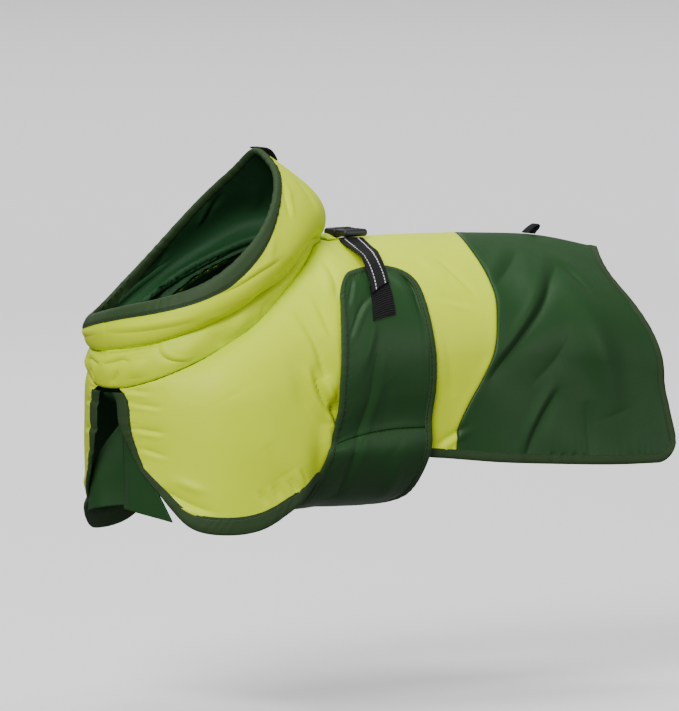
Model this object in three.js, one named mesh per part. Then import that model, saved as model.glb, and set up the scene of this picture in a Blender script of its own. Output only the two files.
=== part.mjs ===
// A rain poncho for a small dog, in millimetres, as it hangs when it is worn.
// -X is the neck end, +X the tail end, -Y the wearer's left side and +Z up.
// The origin is the inner face of the back cloth at the withers, under the buckle.
import * as THREE from 'three';

// Cloth and trim
const clothWall = 1.6;
const liningWall = 1.0;
const bindingWall = 2.2;
const frontBindingWidth = 10.5;
const rearBindingWidth = 6.8;
const bandBindingWidth = 6;
const seamGap = 0.3;
const liningGap = 1.3;
const panelGap = 0.55;
const bandGap = 1;
const webWidth = 20;
const webWall = 1.5;
const tapeWall = 1.2;

// How finely each piece is divided.
const grids = {
  bodyToWithers: 19, bodyToSeam: 6, rearColumns: 12, coatRows: 13, rearCorner: 6,
  collarColumns: 48, collarRows: 12, gussetColumns: 12, gussetRows: 8,
  bandColumns: 7, bandSideRows: 9, bandBellyRows: 6, bandBindingSteps: 18,
  strapSteps: 12, elasticSteps: 5, weltColumns: 8, weltRows: 6,
};
const normalSteps = { coat: 0.004, edge: 0.02, collar: 0.012, band: 0.02, around: 0.01 };
const solveRounds = 30;
const rearColumnsSpread = 1.5;

// The neck seam from the back of the neck, row by row, to the front of the chest.
const neckSeam = [
  { x: -28, y: 0, z: 0 },
  { x: -38, y: 13, z: 0 },
  { x: -52, y: 27, z: -1 },
  { x: -70, y: 42, z: -11 },
  { x: -94, y: 55, z: -26 },
  { x: -124, y: 61, z: -49 },
  { x: -158, y: 57, z: -68 },
  { x: -186, y: 43, z: -82 },
  { x: -200, y: 21, z: -90 },
  { x: -204, y: 0, z: -92 },
];

// The spine of the coat behind the neck seam.
const spine = [
  { x: 16, y: 0, z: 1 },
  { x: 62, y: 0, z: 0.5 },
  { x: 108, y: 0, z: -1 },
  { x: 158, y: 0, z: -5 },
  { x: 209, y: 0, z: -15.7 },
];

// One row for each cut across half the coat, from the front slit to the rear edge:
// where the cloth turns down the side, where its hem lies, the share of the cut that
// is above the turn, and how far the top is peaked.
const cuts = [
  { sideX: -203, sideY: 12, sideZ: -108, hemX: -197, hemY: 31, hemZ: -147, turn: 0.3, peak: 1.1 },
  { sideX: -197.5, sideY: 31, sideZ: -108, hemX: -189, hemY: 46, hemZ: -165, turn: 0.28, peak: 1.1 },
  { sideX: -183, sideY: 56, sideZ: -106, hemX: -177, hemY: 62, hemZ: -184.5, turn: 0.28, peak: 1.1 },
  { sideX: -162, sideY: 75, sideZ: -102, hemX: -157, hemY: 76, hemZ: -189.5, turn: 0.33, peak: 1.1 },
  { sideX: -134, sideY: 84, sideZ: -97, hemX: -131, hemY: 83, hemZ: -186, turn: 0.4, peak: 1.1 },
  { sideX: -100, sideY: 87, sideZ: -89, hemX: -104, hemY: 85, hemZ: -171, turn: 0.48, peak: 1.15 },
  { sideX: -74, sideY: 88, sideZ: -82, hemX: -81, hemY: 73.5, hemZ: -156, turn: 0.54, peak: 1.2 },
  { sideX: -52, sideY: 87.5, sideZ: -78, hemX: -58, hemY: 71.5, hemZ: -148, turn: 0.58, peak: 1.2 },
  { sideX: -33, sideY: 87, sideZ: -76, hemX: -34, hemY: 72.5, hemZ: -144.5, turn: 0.6, peak: 1.2 },
  { sideX: -14, sideY: 87, sideZ: -75, hemX: -10, hemY: 72.5, hemZ: -143.5, turn: 0.6, peak: 1.2 },
  { sideX: 22, sideY: 87.5, sideZ: -75, hemX: 20, hemY: 79, hemZ: -146, turn: 0.6, peak: 1.2 },
  { sideX: 64, sideY: 89, sideZ: -77, hemX: 62, hemY: 89, hemZ: -150.5, turn: 0.6, peak: 1.2 },
  { sideX: 108, sideY: 90, sideZ: -80, hemX: 108, hemY: 91.5, hemZ: -154, turn: 0.6, peak: 1.25 },
  { sideX: 157, sideY: 89.5, sideZ: -86, hemX: 158, hemY: 92.5, hemZ: -157, turn: 0.6, peak: 1.3 },
  { sideX: 205, sideY: 86, sideZ: -98, hemX: 210, hemY: 92.5, hemZ: -158, turn: 0.6, peak: 1.4 },
];
const cutAtWithers = neckSeam.length - 1;
const slitTopGap = 4.4;
const neckSeamLength = 500;
const coatLength = 600;
const neckInset = 4.6;
const neckInsetEnds = 9.09;
const rearCornerRadius = 17;
const rearCornerReach = 1.4;
const hemNarrows = { fromCut: 4, toCut: 7 };
const backStretch = { from: 0.45, to: 1.05 };
const rearNotch = 16;
const rearNotchReach = 88;

// The colour seam between the body panel and the rear panel, from the spine to the hem.
const colourSeam = [
  { x: 89 }, { x: 81.5 }, { x: 75 }, { x: 71.5 }, { x: 68.5 }, { x: 62.5 },
  { x: 57 }, { x: 48.5 }, { x: 38 }, { x: 30.5 }, { x: 30 },
];

// Folds of the coat, each along a line on its side; depth is negative for a trough. They start
// on the sides of the coat, lie a little apart on its two sides, and keep a share of their depth
// at their ends.
const foldStarts = { y: 25, fullY: 55 };
const foldsApart = 5;
const foldEnds = 0.35;
const coatFolds = [
  { fromX: -104, fromZ: -62, toX: -76, toZ: -116, width: 9, depth: -2.6 },
  { fromX: -94, fromZ: -88, toX: -80, toZ: -122, width: 7, depth: 1.6 },
  { fromX: -150, fromZ: -92, toX: -118, toZ: -150, width: 15, depth: 2.4 },
  { fromX: -176, fromZ: -120, toX: -168, toZ: -172, width: 9, depth: -1.8 },
  { fromX: -132, fromZ: -128, toX: -110, toZ: -172, width: 9, depth: -2.4 },
  { fromX: 96, fromZ: -18, toX: 84, toZ: -34, width: 6, depth: -2.2 },
  { fromX: 126, fromZ: -34, toX: 62, toZ: -112, width: 8, depth: -4.2 },
  { fromX: 132, fromZ: -28, toX: 158, toZ: -122, width: 12, depth: 3.2 },
  { fromX: 112, fromZ: -112, toX: 84, toZ: -156, width: 8, depth: -3 },
  { fromX: 184, fromZ: -60, toX: 186, toZ: -140, width: 12, depth: -2 },
];

// The mouth of the collar: its centre, its half length up and back, its half width,
// how far its sides dip, and how far it slouches to the wearer's right.
const mouthCentre = { x: -141, z: 13 };
const mouthRise = { x: 58, back: 45, front: 52, peak: 7, peakReach: 0.07 };
const mouthHalfWidth = 73;
const mouthDip = 26;
const mouthSlouch = 0.2;

// How the collar slouches, from the back of the neck to the front: the height of its
// main crease and the depth of it, and the rolls below and above it.
const collarSlouch = [
  { crease: 0.05, creaseDepth: 0, lowRoll: 0, highRoll: 15, lean: 0.58 },
  { crease: 0.1, creaseDepth: 0.6, lowRoll: 0.5, highRoll: 13.5, lean: 0.6 },
  { crease: 0.24, creaseDepth: 1.6, lowRoll: 1.5, highRoll: 10.5, lean: 0.6 },
  { crease: 0.38, creaseDepth: 2.2, lowRoll: 2, highRoll: 8, lean: 0.68 },
  { crease: 0.46, creaseDepth: 2.8, lowRoll: 2.4, highRoll: 6, lean: 0.76 },
  { crease: 0.5, creaseDepth: 3.2, lowRoll: 2.6, highRoll: 4.5, lean: 0.84 },
  { crease: 0.52, creaseDepth: 3.4, lowRoll: 2.8, highRoll: 4, lean: 0.9 },
];
const creaseWidth = 0.09;
const collarFoot = 0.3;
const collarRim = 9;

// The section of the mouth's binding: up from its foot, and out from the inner face of the collar.
const rimSection = [
  { rise: 0.5, lift: -1.8 }, { rise: 5, lift: -2 }, { rise: 9, lift: -1.5 }, { rise: 10, lift: 0.2 },
  { rise: 9, lift: 1.8 }, { rise: 5, lift: 2.3 }, { rise: 0.5, lift: 2 },
];

// Smaller folds of the collar, each along a line round it (0 back, 1 front) and up it.
const collarFolds = [
  { fromAround: 0.72, fromUp: 0.42, toAround: 0.97, toUp: 0.36, width: 0.08, depth: -2.8 },
  { fromAround: 0.86, fromUp: 0.3, toAround: 0.92, toUp: 0.14, width: 0.07, depth: -1.8 },
  { fromAround: 0.5, fromUp: 0.3, toAround: 0.62, toUp: 0.12, width: 0.07, depth: -1.4 },
  { fromAround: 0.3, fromUp: 0.72, toAround: 0.56, toUp: 0.66, width: 0.08, depth: -1.6 },
];

// The chest gusset behind the slit.
const gussetTop = { halfWidth: 12, z: -96 };
const gussetFoot = { halfWidth: 36, z: -149 };
const gussetInset = { middle: 5, edge: 4.1 };
const chestBow = 200;

// The belly band from its top end to the middle of the belly. The first rows lie on the
// coat at a share of its cut, and the last ones hang clear of it.
const bandRows = [
  { share: 0.26, front: -48, rear: -6 },
  { share: 0.31, front: -58, rear: 4 },
  { share: 0.37, front: -65, rear: 7 },
  { share: 0.44, front: -70, rear: 8 },
  { share: 0.52, front: -73, rear: 8 },
  { share: 0.6, front: -74, rear: 8 },
  { share: 0.72, front: -73.5, rear: 8 },
  { share: 0.84, front: -73, rear: 7.5 },
  { y: 83, z: -140, front: -72, rear: 7.5 },
  { y: 65, z: -164.5, front: -71, rear: 7 },
  { y: 42, z: -175.5, front: -70, rear: 6 },
  { y: 0, z: -181, front: -69, rear: 6 },
  { y: -42, z: -175.5, front: -70, rear: 6 },
];
const bandMiddle = 11;
const widestBandRow = 5;
const bandSeam = 7.45;
const bandLift = 2.9;
const bandSlant = 0.85;
const bandEndInset = 0.75;
const bandEndGap = 0.13;
const bandSeamGap = 0.01;

// The webbing straps and the elastics below them.
const strapTop = { x: -6, share: 0.075, slant: 0 };
const strapEnd = { x: -28, share: 0.36, slant: 0.016 };
const elasticTop = { x: -28, share: 0.335, slant: 0.012 };
const elasticEnd = { x: -34, share: 0.455, slant: 0.003 };
const strapLift = 2.0;
const strapOverBand = 7.2;
const strapRises = { from: 0.16, to: 0.25 };
const elasticLift = 5.4;

// The buckle lies across the spine.
const buckle = { x: -5, y: -1, length: 31, width: 24, height: 5.2, bottom: 3.3, corner: 4, bevel: 1 };

// Small trims
const welt = { fromX: -26, toX: -18.2, halfWidth: 7, rise: 2.4, lift: 2.1, bow: 120 };
const loop = { width: 12, drop: 17, bulge: 3.6, lift: 1.5 };
const tab = { x: 146, length: 12, height: 6, width: 10, lift: 1.9 };

const colours = { shell: 0xd0d655, green: 0x2f5230, lining: 0x28482a, binding: 0x3f6236, black: 0x1a1a1c };

function material(color, roughness) {
  return new THREE.MeshStandardMaterial({ color, roughness, metalness: 0, side: THREE.DoubleSide });
}
const shellCloth = material(colours.shell, 0.5);
const greenCloth = material(colours.green, 0.5);
const liningCloth = material(colours.lining, 0.65);
const bindingTape = material(colours.binding, 0.7);
const blackWebbing = material(colours.black, 0.8);
const blackPlastic = material(colours.black, 0.45);

const { clamp, lerp, smoothstep } = THREE.MathUtils;

// A smooth value along evenly spaced rows, at place 0 on the first row.
function alongRows(rows, key, place) {
  const last = rows.length - 1;
  const row = clamp(Math.floor(place), 0, last - 1);
  const t = place - row;
  const here = rows[row][key];
  const next = rows[row + 1][key];
  const before = row > 0 ? rows[row - 1][key] : 2 * here - next;
  const after = row + 2 <= last ? rows[row + 2][key] : 2 * next - here;
  return here + 0.5 * t * (next - before
    + t * (2 * before - 5 * here + 4 * next - after + t * (3 * (here - next) + after - before)));
}

// The height of a set of folds where a point is, each fading out towards its ends.
function foldHeight(folds, a, b, nameA, nameB) {
  let height = 0;
  for (const fold of folds) {
    const [fromA, fromB] = [fold[`from${nameA}`], fold[`from${nameB}`]];
    const [alongA, alongB] = [fold[`to${nameA}`] - fromA, fold[`to${nameB}`] - fromB];
    const t = ((a - fromA) * alongA + (b - fromB) * alongB) / (alongA ** 2 + alongB ** 2);
    const near = clamp(t, 0, 1);
    const away = Math.hypot(a - fromA - near * alongA, b - fromB - near * alongB) / fold.width;
    height += fold.depth * Math.exp(-(away ** 2)) * lerp(foldEnds, 1, Math.sin(Math.PI * near));
  }
  return height;
}

// The point of a surface moved out along its own normal.
function lifted(surface, a, b, lift, step = normalSteps.coat) {
  const point = surface(a, b);
  const alongA = surface(a + step, b).sub(surface(a - step, b));
  const alongB = surface(a, b + step).sub(surface(a, b - step));
  return point.addScaledVector(alongA.cross(alongB).normalize(), lift);
}

// Finds where a steadily rising function reaches a value.
function solve(rising, value, low, high) {
  for (let round = 0; round < solveRounds; round += 1) {
    const middle = (low + high) / 2;
    if (rising(middle) < value) low = middle;
    else high = middle;
  }
  return (low + high) / 2;
}

// A cloth wall made of grids that share their edges where they meet.
class Cloth {
  constructor() {
    this.inner = [];
    this.outer = [];
    this.faces = [];
    this.known = new Map();
  }

  corner(inner, outer) {
    const key = inner.toArray().map((n) => Math.round(n * 1000) || 0).join();
    if (!this.known.has(key)) {
      this.known.set(key, this.inner.length);
      this.inner.push(inner);
      this.outer.push(outer);
    }
    return this.known.get(key);
  }

  // place(i, j, outside) gives the point of the grid on the inner or the outer face.
  grid(columns, rows, place) {
    const ids = [];
    for (let i = 0; i <= columns; i += 1) {
      for (let j = 0; j <= rows; j += 1) ids.push(this.corner(place(i, j, false), place(i, j, true)));
    }
    const faces = [];
    for (let i = 0; i < columns; i += 1) {
      for (let j = 0; j < rows; j += 1) {
        const [a, b] = [ids[i * (rows + 1) + j], ids[(i + 1) * (rows + 1) + j]];
        const [c, d] = [ids[(i + 1) * (rows + 1) + j + 1], ids[i * (rows + 1) + j + 1]];
        faces.push([a, b, c], [a, c, d]);
      }
    }
    const solid = faces.filter(([a, b, c]) => a !== b && b !== c && a !== c);
    const facing = solid.reduce((sum, face) => sum + this.facing(face), 0);
    for (const [a, b, c] of solid) this.faces.push(facing < 0 ? [a, c, b] : [a, b, c]);
    return this;
  }

  facing([a, b, c]) {
    const edge = this.outer[b].clone().sub(this.outer[a]);
    const normal = edge.cross(this.outer[c].clone().sub(this.outer[a]));
    return Math.sign(normal.dot(this.outer[a].clone().sub(this.inner[a])));
  }

  mesh(name, finish) {
    const count = this.inner.length;
    const edges = new Set();
    for (const [a, b, c] of this.faces) [[a, b], [b, c], [c, a]].forEach((edge) => edges.add(edge.join()));
    const triangles = [];
    for (const [a, b, c] of this.faces) {
      triangles.push([a + count, b + count, c + count], [a, c, b]);
      for (const [from, to] of [[a, b], [b, c], [c, a]]) {
        if (edges.has([to, from].join())) continue;
        triangles.push([to + count, from + count, from], [to + count, from, to]);
      }
    }
    const geometry = new THREE.BufferGeometry();
    const points = [...this.inner, ...this.outer].flatMap((p) => p.toArray());
    geometry.setAttribute('position', new THREE.Float32BufferAttribute(points, 3));
    geometry.setIndex(triangles.flat());
    geometry.computeVertexNormals();
    return named(name, geometry, finish);
  }
}

function named(name, geometry, finish) {
  const mesh = new THREE.Mesh(geometry, finish);
  mesh.name = name;
  return mesh;
}

const mirrored = (point, side) => new THREE.Vector3(point.x, point.y * side, point.z);

// The top line of the coat: round the neck seam from the slit, then along the spine.
function topLine(place) {
  if (place >= cutAtWithers) {
    const line = [neckSeam[1], neckSeam[0], ...spine];
    const at = place - cutAtWithers + 1;
    return new THREE.Vector3(alongRows(line, 'x', at), 0, alongRows(line, 'z', at));
  }
  const around = cutAtWithers - place;
  return seamPoint((around / cutAtWithers) * (1 - slitTopGap / neckSeamLength));
}

// The neck seam, around 0 at the back of the neck and 1 at the front.
function seamPoint(around) {
  const rows = [mirroredRow(neckSeam[1]), ...neckSeam, mirroredRow(neckSeam[neckSeam.length - 2])];
  const place = around * (neckSeam.length - 1) + 1;
  return new THREE.Vector3(...['x', 'y', 'z'].map((key) => alongRows(rows, key, place)));
}

function mirroredRow(row) {
  return { x: row.x, y: -row.y, z: row.z };
}

// Half of the coat, on the +Y side: along is 0 at the slit and 1 at the rear edge,
// and down is 0 at the neck seam or spine and 1 at the hem.
function coatHalf(along, down) {
  const place = along * (cuts.length - 1);
  const value = (key) => alongRows(cuts, key, place);
  const top = topLine(place);
  const side = new THREE.Vector3(value('sideX'), value('sideY'), value('sideZ'));
  const hem = new THREE.Vector3(value('hemX'), value('hemY'), value('hemZ'));
  const pastCorner = Math.max(0, hem.x - (cuts[cuts.length - 1].hemX - rearCornerRadius));
  hem.z += rearCornerRadius - Math.sqrt(Math.max(0, rearCornerRadius ** 2 - pastCorner ** 2));
  const turn = value('turn');
  const point = new THREE.Vector3();
  if (down < turn) {
    const angle = (down / turn) * (Math.PI / 2);
    const out = Math.sign(angle) * Math.abs(Math.sin(angle)) ** value('peak');
    point.set(lerp(top.x, side.x, out), lerp(top.y, side.y, out), lerp(top.z, side.z, 1 - Math.cos(angle)));
  } else {
    const t = (down - turn) / (1 - turn);
    const out = t * t * (2 - t);
    point.set(lerp(side.x, hem.x, out), lerp(side.y, hem.y, out), lerp(side.z, hem.z, t));
  }
  const reach = clamp(Math.abs(point.y) / rearNotchReach, 0, 1);
  point.x -= rearNotch * Math.sin(Math.PI * reach) * smoothstep(place, cuts.length - 3, cuts.length - 1);
  return point;
}

// A point of the coat with its folds, lifted from the inner face of the cloth.
function coatPoint(side, along, down, lift) {
  const base = coatHalf(along, down);
  const fold = foldHeight(coatFolds, base.x + (side > 0 ? foldsApart : 0), base.z, 'X', 'Z');
  const onSide = smoothstep(Math.abs(base.y), foldStarts.y, foldStarts.fullY);
  const point = lifted(coatHalf, along, down, lift + fold * onSide);
  const onSpine = down === 0 && along * (cuts.length - 1) >= cutAtWithers;
  if (onSpine) point.y = 0;
  return mirrored(point, side);
}

const alongAtX = (x, down) =>
  solve((along) => coatHalf(along, down).x, x, backStretch.from, backStretch.to);
const seamAlong = (down) => alongAtX(alongRows(colourSeam, 'x', down * (colourSeam.length - 1)), down);

// How far a width of cloth reaches in from the slit, the hem and the rear edge.
function insetFromSlit(down, gap) {
  const step = coatHalf(normalSteps.edge, down).distanceTo(coatHalf(0, down)) / normalSteps.edge;
  return (frontBindingWidth + gap) / step;
}
function insetFromRear(down, gap) {
  const step = coatHalf(1, down).distanceTo(coatHalf(1 - normalSteps.edge, down)) / normalSteps.edge;
  return 1 - (rearBindingWidth + gap) / step;
}
function insetFromHem(along, gap) {
  const narrow = smoothstep(along * (cuts.length - 1), hemNarrows.fromCut, hemNarrows.toCut);
  const reach = 2 * normalSteps.edge;
  const step = coatHalf(along, 1).distanceTo(coatHalf(along, 1 - reach)) / reach;
  return 1 - (lerp(frontBindingWidth, rearBindingWidth, narrow) + gap) / step;
}
function insetFromNeck(along) {
  const open = clamp(neckInsetEnds - along * (cuts.length - 1), 0, 1);
  const step = coatHalf(along, normalSteps.edge).distanceTo(coatHalf(along, 0)) / normalSteps.edge;
  return (open * neckInset) / step;
}

const toWithers = neckInsetEnds / (cuts.length - 1);

// One panel of the coat, both halves, between two lines across it.
function coatPanel(name, finish, columns, rows, alongAt) {
  const panel = new Cloth();
  for (const side of [-1, 1]) {
    panel.grid(columns, rows, (i, j, outside) => {
      const share = j / rows;
      const along = alongAt(i, share);
      const down = lerp(insetFromNeck(along), insetFromHem(alongAt(i, 1), panelGap), share);
      return coatPoint(side, along, down, outside ? clothWall : 0);
    });
  }
  return panel.mesh(name, finish);
}

// The edge binding runs down the slit, along the hem and over the back, on both sides.
function edgeBinding(name, finish) {
  const binding = new Cloth();
  const rise = (bindingWall - clothWall) / 2;
  const cornerDown = (along) => insetFromHem(along, 0);
  const slitIn = insetFromSlit(1, 0);
  const rearIn = insetFromRear(1, 0);
  const slitFrom = insetFromNeck(0);
  const slitTo = cornerDown(slitIn);
  const cornerStart = 1 - (rearCornerReach * rearCornerRadius) / (spine[4].x - spine[3].x) / (cuts.length - 1);
  const withersAt = (toWithers - slitIn) / (rearIn - slitIn);
  const hemAt = (t) => [t, 1, lerp(slitIn, rearIn, t), cornerDown(lerp(slitIn, rearIn, t))];
  const stretches = [
    { steps: grids.coatRows, at: (t) => [0, lerp(slitFrom, 1, t), insetFromSlit(t, 0), lerp(slitFrom, slitTo, t)] },
    { steps: grids.bodyToWithers, at: (t) => hemAt(t * withersAt) },
    { steps: grids.coatRows, at: (t) => hemAt(lerp(withersAt, cornerStart, t)) },
    { steps: grids.rearCorner, at: (t) => hemAt(lerp(cornerStart, 1, t)) },
    { steps: grids.coatRows, at: (t) => [1, 1 - t, insetFromRear(1 - t, 0), (1 - t) * cornerDown(rearIn)] },
  ];
  for (const side of [-1, 1]) {
    for (const { steps, at } of stretches) {
      binding.grid(steps, 2, (i, j, outside) => {
        const [along, down, innerAlong, innerDown] = at(i / steps);
        const lift = outside ? clothWall + rise : -rise;
        return coatPoint(side, lerp(along, innerAlong, j / 2), lerp(down, innerDown, j / 2), lift);
      });
    }
  }
  return binding.mesh(name, finish);
}

// The collar between the neck seam and its mouth; around runs from -1 to 1 with 0 at the
// back of the neck, and up from 0 at the seam to 1 at the mouth.
function mouthPoint(around) {
  const angle = Math.PI * around;
  const y = mouthHalfWidth * Math.sin(angle);
  const rise = Math.cos(angle) * (Math.cos(angle) > 0 ? mouthRise.back : mouthRise.front);
  const peak = mouthRise.peak * Math.exp(-((Math.sin(angle / 2) / Math.PI / mouthRise.peakReach) ** 2) * 4);
  const z = mouthCentre.z + rise + peak - mouthDip * Math.sin(angle) ** 2 - mouthSlouch * y;
  return new THREE.Vector3(mouthCentre.x + mouthRise.x * Math.cos(angle), y, z);
}
function neckPoint(around) {
  const inRange = ((((around + 1) % 2) + 2) % 2) - 1;
  return mirrored(seamPoint(Math.abs(inRange)), Math.sign(inRange) || 1);
}
function collarSurface(around, up) {
  const inRange = ((((around + 1) % 2) + 2) % 2) - 1;
  const half = Math.abs(inRange);
  const slouch = (key) => alongRows(collarSlouch, key, half * (collarSlouch.length - 1));
  const foot = neckPoint(around);
  const mouth = mouthPoint(around);
  const chord = mouth.clone().sub(foot);
  const step = normalSteps.around;
  const ahead = neckPoint(around + step).add(mouthPoint(around + step));
  const behind = neckPoint(around - step).add(mouthPoint(around - step));
  const outward = ahead.sub(behind).cross(chord).normalize();
  const crease = slouch('crease');
  let bulge = 0;
  if (up > crease) {
    const t = clamp((up - crease) / (1 - crease), 0, 1);
    bulge = slouch('highRoll') * Math.sin(Math.PI * t ** slouch('lean'));
  } else {
    bulge = slouch('lowRoll') * Math.sin(Math.PI * clamp(up / crease, 0, 1));
  }
  bulge -= slouch('creaseDepth') * Math.exp(-(((up - crease) / creaseWidth) ** 2));
  bulge += foldHeight(collarFolds, half, up, 'Around', 'Up') * smoothstep(up, 0, 0.1);
  return foot.addScaledVector(chord, up).addScaledVector(outward, bulge);
}

// A tube of cloth that follows the collar from the neck seam to its rim.
function collarTube(name, finish, innerLift, wall) {
  const tube = new Cloth();
  tube.grid(grids.collarColumns, grids.collarRows, (i, j, outside) => {
    const around = (2 * i) / grids.collarColumns - 1;
    const chord = mouthPoint(around).distanceTo(neckPoint(around));
    const up = lerp(collarFoot / chord, 1 - collarRim / chord, j / grids.collarRows);
    return lifted(collarSurface, around, up, innerLift + (outside ? wall : 0), normalSteps.collar);
  });
  return tube.mesh(name, finish);
}

// The binding of the mouth is a soft rounded edge over the collar and its lining.
function mouthBinding(name, finish, columns) {
  const count = rimSection.length;
  const positions = [];
  const triangles = [];
  for (let i = 0; i < columns; i += 1) {
    const around = (2 * i) / columns - 1;
    const chord = mouthPoint(around).distanceTo(neckPoint(around));
    for (const { rise, lift } of rimSection) {
      const up = 1 + (rise - collarRim) / chord;
      positions.push(...lifted(collarSurface, around, up, lift, normalSteps.collar).toArray());
    }
  }
  for (let i = 0; i < columns; i += 1) {
    const next = (i + 1) % columns;
    for (let k = 0; k < count; k += 1) {
      const [a, b] = [i * count + k, next * count + k];
      const [c, d] = [next * count + ((k + 1) % count), i * count + ((k + 1) % count)];
      triangles.push(a, c, b, a, d, c);
    }
  }
  const geometry = new THREE.BufferGeometry();
  geometry.setAttribute('position', new THREE.Float32BufferAttribute(positions, 3));
  geometry.setIndex(triangles);
  geometry.computeVertexNormals();
  return named(name, geometry, finish);
}

// The inner chest panel that shows in the slit.
function chestGusset(name, finish) {
  const gusset = new Cloth();
  gusset.grid(grids.gussetColumns, grids.gussetRows, (i, j, outside) => {
    const down = j / grids.gussetRows;
    const across = (2 * i) / grids.gussetColumns - 1;
    const y = lerp(gussetTop.halfWidth, gussetFoot.halfWidth, down) * across;
    const z = lerp(gussetTop.z, gussetFoot.z, down);
    const inset = lerp(gussetInset.middle, gussetInset.edge, across * across);
    const x = neckSeam[neckSeam.length - 1].x + (y * y) / chestBow + inset;
    return new THREE.Vector3(x + (outside ? 0 : clothWall), y, z);
  });
  return gusset.mesh(name, finish);
}

// The inner face of the belly band on the +Y side: across is 0 at its front edge and 1
// at its rear edge, and place counts the rows down from the top end.
function bandSurface(across, place) {
  const x = lerp(alongRows(bandRows, 'front', place), alongRows(bandRows, 'rear', place), across);
  const row = (k) => {
    const { share, y, z } = bandRows[clamp(k, 0, bandRows.length - 1)];
    if (share === undefined) return new THREE.Vector3(x, y, z);
    return lifted(coatHalf, alongAtX(x, share), share, bandLift);
  };
  const first = clamp(Math.floor(place), 0, bandRows.length - 2);
  const near = [first - 1, first, first + 1, first + 2].map(row);
  const at = place - first + (first > 0 ? 1 : 0);
  const rows = first > 0 ? near : near.slice(1);
  return new THREE.Vector3(x, alongRows(rows, 'y', at), alongRows(rows, 'z', at));
}
function bandPoint(side, across, place, lift) {
  const point = lifted(bandSurface, across, place, lift, normalSteps.band);
  if (place === bandMiddle) point.y = 0;
  return mirrored(point, side);
}
const bandStart = (across) => bandSlant * (1 - across);
const bandWidth = bandRows[widestBandRow].rear - bandRows[widestBandRow].front;
const bandAcrossInset = (width) => width / bandWidth;

function bandPanels() {
  const inset = bandAcrossInset(bandBindingWidth + bandGap);
  const acrossAt = (t) => lerp(inset, 1 - inset, t);
  const panels = [];
  const sides = [{ side: -1, name: 'band_side_left' }, { side: 1, name: 'band_side_right' }];
  for (const { side, name } of sides) {
    const panel = new Cloth();
    panel.grid(grids.bandColumns, grids.bandSideRows, (i, j, outside) => {
      const across = acrossAt(i / grids.bandColumns);
      const start = bandStart(across) + bandEndInset + bandEndGap;
      const place = lerp(start, bandSeam - bandSeamGap, j / grids.bandSideRows);
      return bandPoint(side, across, place, outside ? clothWall : 0);
    });
    panels.push(panel.mesh(name, greenCloth));
  }
  const belly = new Cloth();
  const last = grids.bandBellyRows;
  for (const { side } of sides) {
    belly.grid(grids.bandColumns, last, (i, j, outside) => {
      const place = j === last ? bandMiddle : lerp(bandSeam + bandSeamGap, bandMiddle, j / last);
      return bandPoint(side, acrossAt(i / grids.bandColumns), place, outside ? clothWall : 0);
    });
  }
  panels.push(belly.mesh('band_belly', greenCloth));
  return panels;
}

function bandBinding(name, finish) {
  const binding = new Cloth();
  const inset = bandAcrossInset(bandBindingWidth);
  const rise = (bindingWall - clothWall) / 2;
  const startIn = (across) => bandStart(across) + bandEndInset;
  const steps = grids.bandBindingSteps;
  for (const side of [-1, 1]) {
    const edges = [{ edge: 0, inner: inset }, { edge: 1, inner: 1 - inset }];
    for (const { edge, inner } of edges) {
      binding.grid(steps, 1, (i, j, outside) => {
        const [from, across] = j ? [startIn(inner), inner] : [bandStart(edge), edge];
        const place = i === steps ? bandMiddle : lerp(from, bandMiddle, i / steps);
        return bandPoint(side, across, place, outside ? clothWall + rise : -rise);
      });
    }
    binding.grid(grids.bandColumns, 1, (i, j, outside) => {
      const t = i / grids.bandColumns;
      const across = j ? lerp(inset, 1 - inset, t) : t;
      const place = j ? startIn(across) : bandStart(across);
      return bandPoint(side, across, place, outside ? clothWall + rise : -rise);
    });
  }
  return binding.mesh(name, finish);
}

// A strip of webbing on the coat, from one place to another.
function webbing(name, finish, side, from, to, steps, liftAt, wall) {
  const strip = new Cloth();
  strip.grid(steps, 2, (i, j, outside) => {
    const t = i / steps;
    const edge = j - 1;
    const down = lerp(from.share, to.share, t) - edge * lerp(from.slant, to.slant, t);
    const x = lerp(from.x, to.x, t) + (edge * webWidth) / 2;
    const lift = liftAt(down) + (outside ? wall : 0);
    return mirrored(lifted(coatHalf, alongAtX(x, down), down, lift), side);
  });
  return strip.mesh(name, finish);
}
const strapHeight = (down) =>
  lerp(strapLift, strapOverBand, smoothstep(down, strapRises.from, strapRises.to));

// One half of the side-release buckle, from the middle of the spine to one side.
function buckleHalf(name, side, finish) {
  const half = buckle.width / 2 - buckle.bevel;
  const near = seamGap / 2 + buckle.bevel;
  const far = buckle.length / 2 - buckle.bevel;
  const outline = new THREE.Shape();
  outline.moveTo(-half, near);
  outline.lineTo(half, near);
  outline.lineTo(half, far - buckle.corner);
  outline.quadraticCurveTo(half, far, half - buckle.corner, far);
  outline.lineTo(-half + buckle.corner, far);
  outline.quadraticCurveTo(-half, far, -half, far - buckle.corner);
  const geometry = new THREE.ExtrudeGeometry(outline, {
    depth: buckle.height - 2 * buckle.bevel,
    bevelThickness: buckle.bevel,
    bevelSize: buckle.bevel,
    bevelSegments: 2,
    curveSegments: 4,
  });
  const mesh = named(name, geometry, finish);
  mesh.position.set(buckle.x, buckle.y, buckle.bottom + buckle.bevel);
  if (side < 0) mesh.rotation.z = Math.PI;
  return mesh;
}

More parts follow.
